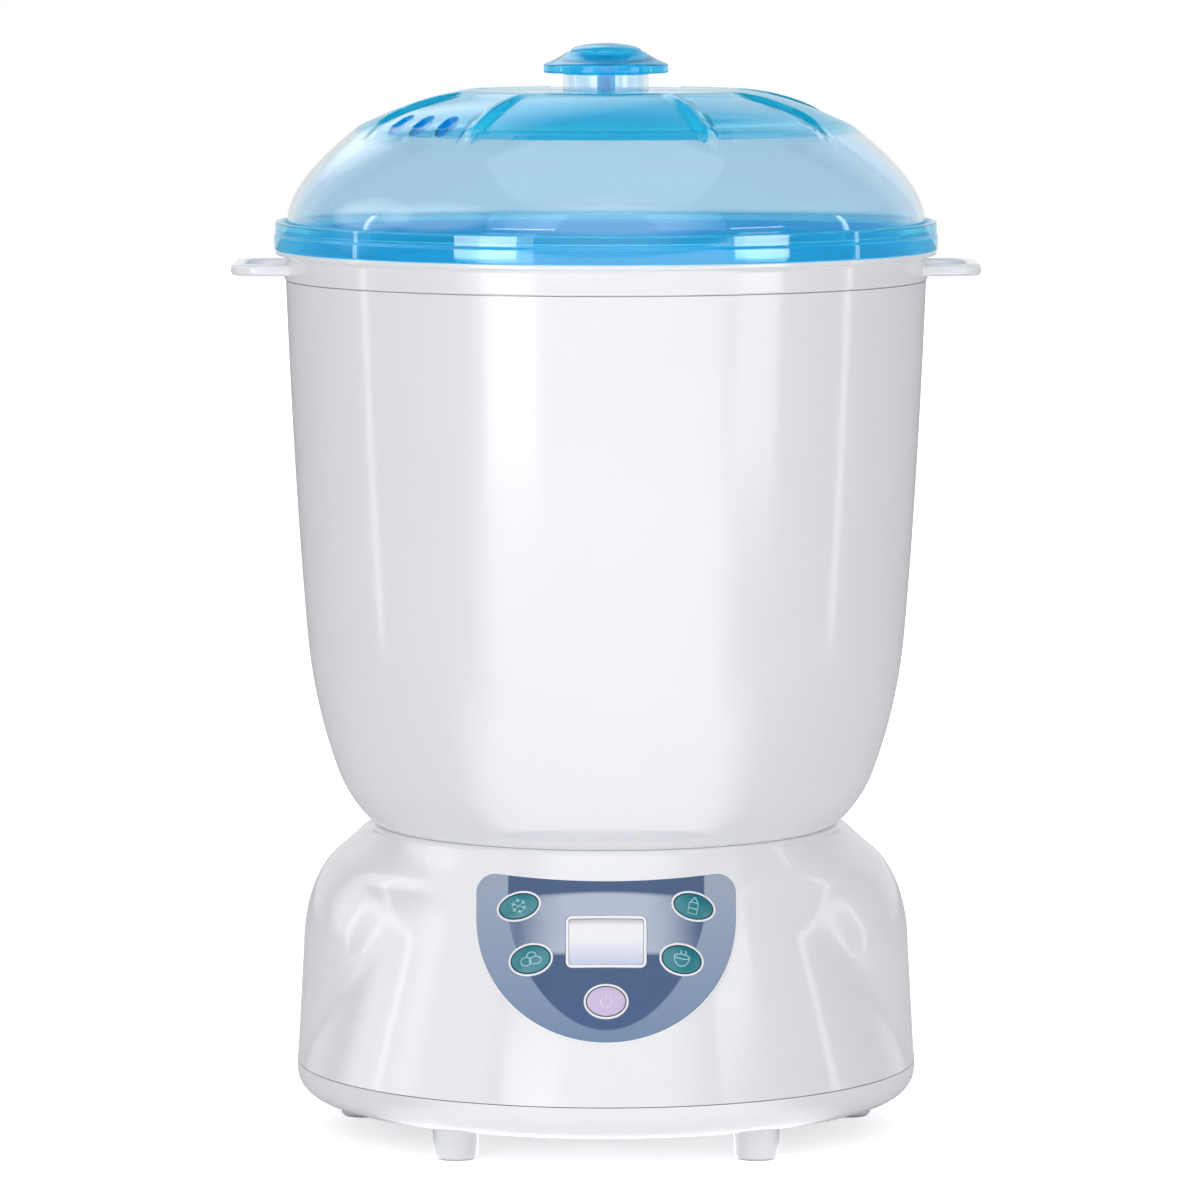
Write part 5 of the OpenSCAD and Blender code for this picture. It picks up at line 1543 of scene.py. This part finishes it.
@dataclass
class Lid:
    """The clear domed lid with four raised wings and three vents.

    Attributes:
        lid_r: Radius of the rim.
        wall: Wall of the lid.
        z_seat: Height of the seat on the collar.
        z_skirt: Height of the skirt's lower end.
        skirt_r: Inner and outer radius of the skirt.
        z_dome: Height of the dome's foot.
        dome_r: Radius of the dome's foot.
        crease: Distance out and height of the crease between side and crown.
        side_slope: Slope of the side at the crease, in degrees.
        crown_slope: Slope of the crown at the crease, in degrees.
        plateau_r: Radius of the flat top.
        plateau_rings: Radii of the mesh's rings on the flat top.
        z_top: Height of the flat top.
        groove: Depth of the groove round the dome's foot.
        groove_out: Distance of the groove's outer foot inside the rim.
        rim_top: Distances of the rim's top face inside the rim, inner and outer.
        rim_step: Heights over the seat between which the rim steps in.
        wings: Number of wings.
        wing_start: Distance from the middle at which a wing's back starts to fall.
        wing_run: Distance over which it falls.
        wing_depth: How far it falls.
        wing_half: Half angle of a wing, in degrees.
        wing_edge: Width of a wing's sloped edge.
        wing_blend: Width of the rounding where a wing meets the dome.
        wing_low: Height over the dome's foot from which wings are raised.
        ridge_w: Width of the ridge along a wing's edge.
        dish: Depth of the hollow between the ridges.
        dish_fade: Distance over which the hollow fades at its ends.
        turn: Turn of the lid, in degrees.
        vent_way: Direction of the middle vent before that turn, in degrees.
        vent_r: Distance of the vents from the middle.
        vent_step: Angle between vents, in degrees.
        vent_l: Length of a vent.
        vent_w: Width of a vent.
        vent_cut: How far under and over the flat top a vent is cut.
        vents: Places of the vents, counted from the middle one.
        lip_wall: Wall of a vent's lip.
        lip_depth: Depth of the lip below the wing's back.
        lip_proud: How far the lip stands proud of it.
        turn_steps: Steps of the turn.
    """

    lid_r: float = 116
    wall: float = 2.2
    z_seat: float = 309.6
    z_skirt: float = 304
    skirt_r: Point = (104.2, 106)
    z_dome: float = 319.4
    dome_r: float = 111.4
    crease: Point = (86.5, 352.4)
    side_slope: float = 38
    crown_slope: float = 26
    plateau_r: float = 45
    plateau_rings: tuple[float, ...] = (0, 12, 24, 34)
    z_top: float = 364.9
    groove: float = 0.9
    groove_out: float = 2.6
    rim_top: Point = (2.2, 0.4)
    rim_step: Point = (5.1, 5.6)
    wings: int = WINGS
    wing_start: float = 50
    wing_run: float = 41
    wing_depth: float = 20
    wing_half: float = 18.5
    wing_edge: float = 3
    wing_blend: float = 1.2
    wing_low: float = 8
    ridge_w: float = 2.2
    dish: float = 2
    dish_fade: float = 9
    turn: float = LID_TURN
    vent_way: float = 225
    vent_r: float = 82.5
    vent_step: float = 8.5
    vent_l: float = 8.5
    vent_w: float = 5.5
    vent_cut: Point = (24, 4)
    vents: tuple[int, ...] = (-1, 0, 1)
    lip_wall: float = 0.5
    lip_depth: float = 3.4
    lip_proud: float = 0.15
    turn_steps: int = 360

    def build(self) -> None:
        """Build the lid's pieces."""
        self.shell()
        self.painted_vent_linings()

    def dome(self, inset: float) -> list[Point]:
        """Give the dome's curve from the rim to the flat top.

        Args:
            inset: How far it is drawn in.

        Returns:
            The points, from the rim up.
        """
        lean = math.radians((self.side_slope + self.crown_slope) / 2)
        foot = (self.dome_r - inset, self.z_dome)
        crease = (self.crease[0] - inset * math.sin(lean), self.crease[1] - inset * math.cos(lean))
        top = (self.plateau_r, self.z_top - inset)
        side_pull = (foot[0], crease[1] - (foot[0] - crease[0]) * math.tan(math.radians(self.side_slope)))
        crown_pull = (crease[0] - (top[1] - crease[1]) / math.tan(math.radians(self.crown_slope)), top[1])
        return [foot] + bend(foot, side_pull, crease, steps=22) + bend(crease, crown_pull, top, steps=22)

    def wing_z(self, r: float, inset: float) -> float:
        """Give the height of a wing's back at a distance from the middle.

        Args:
            r: Distance from the middle.
            inset: How far it is drawn in.

        Returns:
            The height, or 0 past the wing's end.
        """
        share = max(r - self.wing_start, 0) / (self.wing_run - inset)
        if share >= 1:
            return 0
        return self.z_top - self.wing_depth + (self.wing_depth - inset) * math.sqrt(1 - share * share)

    def dish_at(self, r: float, past: float) -> float:
        """Give how deep a wing's back lies between the ridges along its edges.

        Args:
            r: Distance from the middle.
            past: Distance inside the wing's edge.

        Returns:
            The depth.
        """
        ends = eased((r - self.wing_start) / self.dish_fade)
        ends *= eased((self.wing_start + self.wing_run - r) / self.dish_fade)
        return self.dish * ends * eased((past - self.ridge_w / 2) / self.ridge_w)

    def raise_wings(self, bm: Mesh) -> None:
        """Raise the wings out of the turned dome, outside and inside.

        Args:
            bm: The dome's mesh.
        """
        inside = self.dome(self.wall)
        middle = [(r, (z + inside[i][1]) / 2) for i, (r, z) in enumerate(self.dome(0))]
        for vert in bm.verts:
            x, y, z = vert.co / MM
            r = math.hypot(x, y)
            if z < self.z_dome + self.wing_low or r < self.wing_start:
                continue
            between = next((m for m in middle if m[0] <= r), middle[-1])
            inset = 0 if z > between[1] else self.wall
            vert.co.z = self.raised(x, y, z, inset) * MM

    def raised(self, x: float, y: float, z: float, inset: float) -> float:
        """Give the height to which the wings raise a point of the dome.

        Args:
            x: Place of the point.
            y: Place of the point.
            z: Height of the dome there.
            inset: How far the surface is drawn in.

        Returns:
            The height.
        """
        r = math.hypot(x, y)
        spacing = 360 / self.wings
        angle = math.degrees(math.atan2(y, x)) % spacing - spacing / 2
        past = (self.wing_half - abs(angle)) * math.radians(1) * r - inset
        share = eased(past / self.wing_edge + 0.5)
        lifted = blended(self.wing_z(r, inset) - self.dish_at(r, past), z, self.wing_blend)
        return z + (lifted - z) * share

    def dome_z(self, r: float) -> float:
        """Give the height of the plain dome at a distance from the middle."""
        low, high = next(pair for pair in zip(self.dome(0), self.dome(0)[1:]) if pair[1][0] <= r)
        return low[1] + (high[1] - low[1]) * (low[0] - r) / (low[0] - high[0])

    def shell(self) -> None:
        """Build the lid's shell with its rim, skirt, wings and vents."""
        z_groove = self.z_dome - self.groove
        z_web = z_groove - self.wall
        rim_in = self.lid_r - self.wall
        top_in, top_out = (self.lid_r - inset for inset in self.rim_top)
        step_low, step_high = (self.z_seat + rise for rise in self.rim_step)
        skirt_in, skirt_out = self.skirt_r
        profile = [Corner(r, self.z_top) for r in self.plateau_rings]
        profile += corners(self.dome(0)[::-1])
        profile += [Corner(self.dome_r, z_groove, Edge.FINE),
                    Corner(self.lid_r - self.groove_out, z_groove, Edge.FINE),
                    Corner(top_in, self.z_dome, Edge.FINE), Corner(top_out, self.z_dome, Edge.SMALL),
                    Corner(top_out, step_high, Edge.FINE), Corner(self.lid_r, step_low, Edge.FINE),
                    Corner(self.lid_r, self.z_seat, Edge.SMALL), Corner(rim_in, self.z_seat, Edge.FINE),
                    Corner(rim_in, z_web, Edge.SOFT), Corner(skirt_out, z_web, Edge.SOFT),
                    Corner(skirt_out, self.z_skirt, Edge.SMALL),
                    Corner(skirt_in, self.z_skirt, Edge.SMALL), Corner(skirt_in, z_groove)]
        profile += corners(self.dome(self.wall))
        profile += [Corner(r, self.z_top - self.wall) for r in reversed(self.plateau_rings)]
        bm = turned(profile, steps=self.turn_steps)
        self.raise_wings(bm)
        bm = carved(bm, [self.vent(i) for i in self.vents])
        bmesh.ops.rotate(bm, verts=bm.verts, matrix=Matrix.Rotation(math.radians(self.turn), 3, "Z"))
        piece("lid_moulding", bm, CLEAR_LID, Body.LID, ["lid_shell"])

    def vent(self, index: int) -> Mesh:
        """Give the cutter of one steam vent.

        Args:
            index: Which vent, counted from the middle one.

        Returns:
            The closed cutter.
        """
        under, over = self.vent_cut
        bm = plate(self.vent_outline(0), self.z_top - under, self.z_top + over)
        bmesh.ops.transform(bm, matrix=self.vent_place(index), verts=bm.verts)
        return bm

    def vent_outline(self, inset: float) -> list[Point]:
        """Give a vent's long round outline about its own middle.

        Args:
            inset: How far it is drawn in.

        Returns:
            The points.
        """
        flat = (self.vent_l - self.vent_w) / 2
        r = self.vent_w / 2 - inset
        return arc((flat, 0), r, -90, 90, steps=12) + arc((-flat, 0), r, 90, 270, steps=12)

    def vent_place(self, index: int) -> Matrix:
        """Give the turn and shift from a vent's middle to its place on the lid."""
        turn = Matrix.Rotation(math.radians(self.vent_way - index * self.vent_step), 4, "Z")
        return turn @ Matrix.Translation((self.vent_r * MM, 0, 0))

    def lip_ring(self, bm: Mesh, index: int, inset: float, rise: float) -> list[bmesh.types.BMEdge]:
        """Lay one ring of a vent's lip along the wing's back.

        Args:
            bm: The mesh that gets the ring.
            index: Which vent, counted from the middle one.
            inset: How far the ring is drawn in from the vent's edge.
            rise: Height of the ring over the wing's back.

        Returns:
            The ring's edges.
        """
        place = self.vent_place(index)
        verts = []
        for u, v in self.vent_outline(inset):
            x, y, _ = place @ Vector((u * MM, v * MM, 0)) / MM
            z = self.raised(x, y, self.dome_z(math.hypot(x, y)), 0)
            verts.append(bm.verts.new((x * MM, y * MM, (z + rise) * MM)))
        return [bm.edges.new(pair) for pair in zip(verts, verts[1:] + verts[:1])]

    def painted_vent_linings(self) -> None:
        """Build the thin lips that line the vents, level with the wing's back, painted deep blue for the
        colour that shows through the vents.
        """
        section = ((0, self.lip_proud), (self.lip_wall, self.lip_proud), (self.lip_wall, -self.lip_depth),
                   (0, -self.lip_depth))
        bm = bmesh.new()
        for index in self.vents:
            rings = [self.lip_ring(bm, index, inset, rise) for inset, rise in section]
            for one, two in zip(rings, rings[1:] + rings[:1]):
                bmesh.ops.bridge_loops(bm, edges=one + two)
        bmesh.ops.recalc_face_normals(bm, faces=bm.faces)
        bmesh.ops.rotate(bm, verts=bm.verts, matrix=Matrix.Rotation(math.radians(self.turn), 3, "Z"))
        piece("painted_vent_linings", bm, VENT_PAINTED_BLUE, Body.LID)


@dataclass
class Knob:
    """The lid's hollow mushroom knob with its centre post.

    Attributes:
        z_foot: Height of its foot on the lid's flat top.
        brim_r: Radius of the brim.
        brim_h: Heights of the brim's lower and upper edge over the foot.
        brim_edges: Roundings of those edges.
        flare: Distance out and height of the lower end of the flare above the brim.
        head: Distance out and height of its upper end.
        flare_steps: Steps of the flare's curve.
        crown_r: Radius of the crown.
        crown_rise: Rise of the crown over the flare.
        crown_steps: Steps from the crown's middle to its edge.
        stem_r: Inner and outer radius of the stem.
        hollow_h: Height of the hollow.
        post_r: Radius of the post's bore and of the post.
        bore_h: Height of that bore.
        turn_steps: Steps of the turn.
    """

    z_foot: float = 364.9
    brim_r: float = 21.8
    brim_h: Point = (6, 8.9)
    brim_edges: Point = (0.7, 0.4)
    flare: Point = (21.0, 9.4)
    head: Point = (13.4, 13.4)
    flare_steps: int = 10
    crown_r: float = 12.6
    crown_rise: float = 3
    crown_steps: int = 10
    stem_r: Point = (12.9, 14.9)
    hollow_h: float = 11.4
    post_r: Point = (1.55, 3.2)
    bore_h: float = 7.2
    turn_steps: int = 128

    def profile(self) -> list[Corner]:
        """Give the knob's profile.

        Returns:
            The corners, from the crown's middle round to the end of the post's bore.
        """
        z = self.z_foot
        foot = (self.flare[0], z + self.flare[1])
        head = (self.head[0], z + self.head[1])
        pull = ((foot[0] + head[0]) / 2, foot[1] + (head[1] - foot[1]) / 3)
        flare = [foot] + bend(foot, pull, head, self.flare_steps)
        crown = oval_arc((0, head[1]), (self.crown_r, self.crown_rise), 90, 0, self.crown_steps)
        brim_low, brim_high = (z + rise for rise in self.brim_h)
        low_edge, high_edge = self.brim_edges
        stem_in, stem_out = self.stem_r
        bore, post = self.post_r
        return corners(crown) + corners(flare[::-1]) + [
            Corner(self.brim_r, brim_high, high_edge), Corner(self.brim_r, brim_low, low_edge),
            Corner(stem_out, brim_low, Edge.SOFT), Corner(stem_out, z, Edge.CRISP),
            Corner(stem_in, z, Edge.CRISP), Corner(stem_in, z + self.hollow_h, Edge.FULL),
            Corner(post, z + self.hollow_h, Edge.ROUND), Corner(post, z, Edge.CRISP),
            Corner(bore, z), Corner(bore, z + self.bore_h), Corner(0, z + self.bore_h)]

    def build(self) -> None:
        """Build the knob."""
        bm = turned(self.profile(), steps=self.turn_steps)
        piece("knob_moulding", bm, CLEAR_KNOB, Body.LID, ["lid_knob"])


@dataclass
class PackedPieces:
    """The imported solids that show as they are, each with its finish.

    Attributes:
        finishes: Nodes by finish.
    """

    finishes: dict[Finish, tuple[str, ...]] = field(default_factory=lambda: {
        WHITE_SHELL: ("bottom_cover",),
        WHITE_INNER: ("bottle_rack", "rack_post"),
        WHITE_TRIM: ("display_frame",),
        CLEAR_TRAY: ("accessory_tray",),
        OVERLAY: ("panel_plate",),
        DISPLAY: ("display_window",),
        STEEL: ("heater_dish", "dish_bracket", "cover_screws", "panel_screws", "dish_screws",
                "board_screws", "knob_screw", "heating_element"),
        CAST_ALUMINIUM: ("heat_spreader",),
        SILICONE: ("foot_pads", "dish_gasket", "bowl_seal"),
        BOARD: ("control_board", "power_board"),
        DARK_PLASTIC: ("mains_gland", "key_switches", "thermostat", "transformer", "capacitor"),
        PALE_PLASTIC: ("display_module", "terminal_block", "thermal_fuse"),
        RELAY_BLUE: ("relay",),
        WIRE: ("ribbon_cable", "heater_leads"),
    })

    def build(self, nodes: dict[str, bpy.types.Object]) -> None:
        """Give each node its finish.

        Args:
            nodes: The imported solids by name.
        """
        for finish, names in self.finishes.items():
            for name in names:
                mesh = nodes[name].data
                mesh.materials.clear()
                mesh.materials.append(finish.material())
                log.info("solid %s: %s", name, finish.name)


@dataclass(frozen=True)
class Softbox:
    """A soft lamp that faces the object.

    Attributes:
        name: Its name.
        left: Angle to the camera's left, in degrees.
        up: Angle above the horizon, in degrees.
        far: Distance.
        size: Width and height.
        power: Power, in watts.
        shines: Whether glossy surfaces mirror it.
    """

    name: str
    left: float
    up: float
    far: float
    size: Point
    power: float
    shines: bool = True

    def hang(self, middle: Vector) -> None:
        """Hang the lamp.

        Args:
            middle: The point that it faces.
        """
        data = bpy.data.lights.new(self.name, "AREA")
        data.shape = "RECTANGLE"
        data.size, data.size_y = self.size
        data.energy = self.power
        made = bpy.data.objects.new(self.name, data)
        made.visible_glossy = self.shines
        a, e = math.radians(self.left), math.radians(self.up)
        way = Vector((-math.sin(a) * math.cos(e), -math.cos(a) * math.cos(e), math.sin(e)))
        made.location = middle + way * self.far
        made.rotation_euler = (-way).to_track_quat("-Z", "Y").to_euler()
        bpy.context.scene.collection.objects.link(made)


@dataclass(frozen=True)
class SoftPanel:
    """A soft patch of the room that only glossy surfaces mirror.

    Attributes:
        way: Direction of its middle.
        soft: Cosine of the angle at which it sets in.
        full: Cosine of the angle inside which it is full.
        glow: Brightness that it adds to the room.
    """

    way: tuple[float, float, float]
    soft: float
    full: float
    glow: float


@dataclass
class Studio:
    """Pale floor, soft studio light and camera.

    Attributes:
        eye: Place of the camera.
        aim: Point that it looks at.
        lens: Focal length.
        sensor: Width of the camera's sensor.
        clip_far: Distance up to which the camera sees.
        middle: Point that the lamps face.
        floor_r: Half width of the floor.
        floor_paint: Colour of the floor.
        lit_r: Distances from the middle between which the seen floor grows white.
        lit: Brightness added to the seen floor at those distances.
        table_edge: Directions to the front between which the lit table sets in, as shares of 1.
        table_glow: Brightness of the lit table in front, as glossy surfaces mirror it.
        near_edge: Directions to the front between which the near part of the table sets in.
        near_r: Distances from the middle between which that part fades out.
        near_glow: Brightness of the table close before the object, as they mirror it.
        back_edge: Directions to the back between which the backdrop sets in, as shares of 1.
        room: Brightness of the room's sides and of the backdrop.
        panels: Soft panels over the camera, behind on the left, twice on the left, and a dim one above.
        lamps: The lamps.
    """

    eye: tuple[float, float, float] = (-0.0021, -2.45, 0.4304)
    aim: tuple[float, float, float] = (-0.0021, 0, 0.1859)
    lens: float = 210
    sensor: float = 36
    clip_far: float = 100
    middle: tuple[float, float, float] = (0, 0, 0.19)
    floor_r: float = 6
    floor_paint: str = "#f3f3f5"
    lit_r: Point = (0.25, 0.9)
    lit: Point = (0.6, 1.0)
    table_edge: Point = (-0.64, -0.78)
    table_glow: float = 2.8
    near_edge: Point = (-0.5, -0.75)
    near_r: Point = (0.35, 0.8)
    near_glow: float = 2.7
    back_edge: Point = (0.55, 0.75)
    room: Point = (0.32, 0.95)
    panels: tuple[SoftPanel, ...] = (
        SoftPanel((0, -0.906, 0.423), 0.77, 0.95, 2.5),
        SoftPanel((-0.24, 0.82, 0.52), 0.95, 0.985, 1.2),
        SoftPanel((-0.847, -0.342, 0.407), 0.91, 0.97, 2.0),
        SoftPanel((-0.947, 0.133, 0.292), 0.925, 0.975, 2.0),
        SoftPanel((0, 0.5, 0.866), 0.85, 0.95, -0.3),
    )
    lamps: tuple[Softbox, ...] = (
        Softbox("left_softbox", 30, 28, 1.3, (0.55, 0.7), 2.6, shines=False),
        Softbox("right_softbox", -30, 28, 1.3, (0.55, 0.7), 2.0, shines=False),
        Softbox("top_softbox", 0, 80, 1.4, (1.2, 1.0), 4.6, shines=False),
        Softbox("left_card", 33, 0, 1.3, (0.42, 0.36), 1.3),
        Softbox("right_card", -54, 0, 1.3, (0.36, 0.36), 1.1),
        Softbox("left_window", 40.3, 3.1, 1.3, (0.5, 0.03), 0.42),
        Softbox("right_window", -52.9, 3.1, 1.3, (0.46, 0.03), 0.36),
        Softbox("left_low_window", 28.4, 15.4, 1.3, (0.48, 0.03), 0.32),
        Softbox("right_low_window", -54, 15.4, 1.3, (0.46, 0.03), 0.30),
        Softbox("left_strip", 91, 2, 0.9, (0.03, 0.8), 0.35),
        Softbox("right_strip", -91, 2, 0.9, (0.03, 0.8), 0.35),
    )

    def build(self) -> None:
        """Set up the floor, world, lamps and camera."""
        self.floor()
        self.world()
        for lamp in self.lamps:
            lamp.hang(Vector(self.middle))
        self.camera()
        bpy.context.scene.view_settings.view_transform = "Standard"

    def floor(self) -> None:
        """Lay the floor, white where nothing shades it."""
        bm = bmesh.new()
        bmesh.ops.create_grid(bm, x_segments=1, y_segments=1, size=self.floor_r)
        ground = to_object("floor", bm)
        made = bpy.data.materials.new("pale_floor_paint")
        tree = bare_tree(made)
        paint = add_node(tree, "ShaderNodeBsdfDiffuse", {"Color": linear(self.floor_paint)})[0]
        place = add_node(tree, "ShaderNodeTexCoord")["Object"]
        away = add_node(tree, "ShaderNodeVectorMath", {"operation": "LENGTH"}, {0: place})["Value"]
        glow = add_node(tree, "ShaderNodeMapRange", spans(self.lit_r, self.lit), {"Value": away})[0]
        path = add_node(tree, "ShaderNodeLightPath")
        seen = add_node(tree, "ShaderNodeMath", {"operation": "MAXIMUM"},
                        {0: path["Is Camera Ray"], 1: path["Is Transmission Ray"]})[0]
        lift = add_node(tree, "ShaderNodeMath", {"operation": "MULTIPLY"}, {0: seen, 1: glow})[0]
        ahead = add_node(tree, "ShaderNodeVectorMath", {"operation": "NORMALIZE"}, {0: place})[0]
        ahead = add_node(tree, "ShaderNodeSeparateXYZ", links={0: ahead})["Y"]
        table = add_node(tree, "ShaderNodeMapRange", spans(self.table_edge, (0.0, self.table_glow)),
                         {"Value": ahead})[0]
        near = add_node(tree, "ShaderNodeMapRange", spans(self.near_r, (self.near_glow, 0.0)),
                        {"Value": away})[0]
        before = add_node(tree, "ShaderNodeMapRange", spans(self.near_edge), {"Value": ahead})[0]
        near = add_node(tree, "ShaderNodeMath", {"operation": "MULTIPLY"}, {0: near, 1: before})[0]
        table = add_node(tree, "ShaderNodeMath", {"operation": "MAXIMUM"}, {0: table, 1: near})[0]
        lift = add_node(tree, "ShaderNodeMath", {"operation": "MULTIPLY_ADD"},
                        {0: path["Is Glossy Ray"], 1: table, 2: lift})[0]
        glow = add_node(tree, "ShaderNodeEmission", links={"Strength": lift})[0]
        both = add_node(tree, "ShaderNodeAddShader", links={0: paint, 1: glow})[0]
        add_node(tree, "ShaderNodeOutputMaterial", links={"Surface": both})
        ground.data.materials.append(made)

    def world(self) -> None:
        """Light the room softly, with a bright backdrop behind the object and dimmer sides."""
        made = bpy.data.worlds.new("studio")
        tree = bare_tree(made)
        way = add_node(tree, "ShaderNodeTexCoord")["Generated"]
        behind = add_node(tree, "ShaderNodeSeparateXYZ", links={0: way})["Y"]
        room = add_node(tree, "ShaderNodeMapRange", spans(self.back_edge, self.room), {"Value": behind})[0]
        path = add_node(tree, "ShaderNodeLightPath")
        for panel in self.panels:
            near = add_node(tree, "ShaderNodeVectorMath", {"operation": "DOT_PRODUCT", 1: panel.way},
                            {0: way})["Value"]
            glow = add_node(tree, "ShaderNodeMapRange",
                            spans((panel.soft, panel.full), (0.0, panel.glow)), {"Value": near})[0]
            room = add_node(tree, "ShaderNodeMath", {"operation": "MULTIPLY_ADD"},
                            {0: path["Is Glossy Ray"], 1: glow, 2: room})[0]
        clear = add_node(tree, "ShaderNodeMath", {"operation": "MAXIMUM"},
                         {0: path["Is Camera Ray"], 1: path["Is Transmission Ray"]})[0]
        level = add_node(tree, "ShaderNodeMix", {"data_type": "FLOAT", 3: 1.0},
                         {0: clear, 2: room})[0]
        back = add_node(tree, "ShaderNodeBackground", {"Color": (1, 1, 1, 1)},
                        {"Strength": level})[0]
        add_node(tree, "ShaderNodeOutputWorld", links={"Surface": back})
        bpy.context.scene.world = made

    def camera(self) -> None:
        """Set the camera at the picture's viewing angle."""
        data = bpy.data.cameras.new("camera")
        data.lens = self.lens
        data.sensor_width = self.sensor
        data.clip_end = self.clip_far
        made = bpy.data.objects.new("camera", data)
        made.location = self.eye
        made.rotation_euler = (Vector(self.aim) - Vector(self.eye)).to_track_quat("-Z", "Y").to_euler()
        bpy.context.scene.collection.objects.link(made)
        bpy.context.scene.camera = made


def main() -> None:
    """Load the solids, build the pieces over them and set up the studio."""
    logging.basicConfig(level=logging.INFO, format="%(message)s")
    for old in list(bpy.data.objects):
        bpy.data.objects.remove(old)
    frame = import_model()
    PackedPieces().build(frame["nodes"])
    for assembly in (BaseUnit(), ControlPanel(), Bowl(), Lid(), Knob()):
        assembly.build()
    Studio().build()


if __name__ == "__main__":
    main()
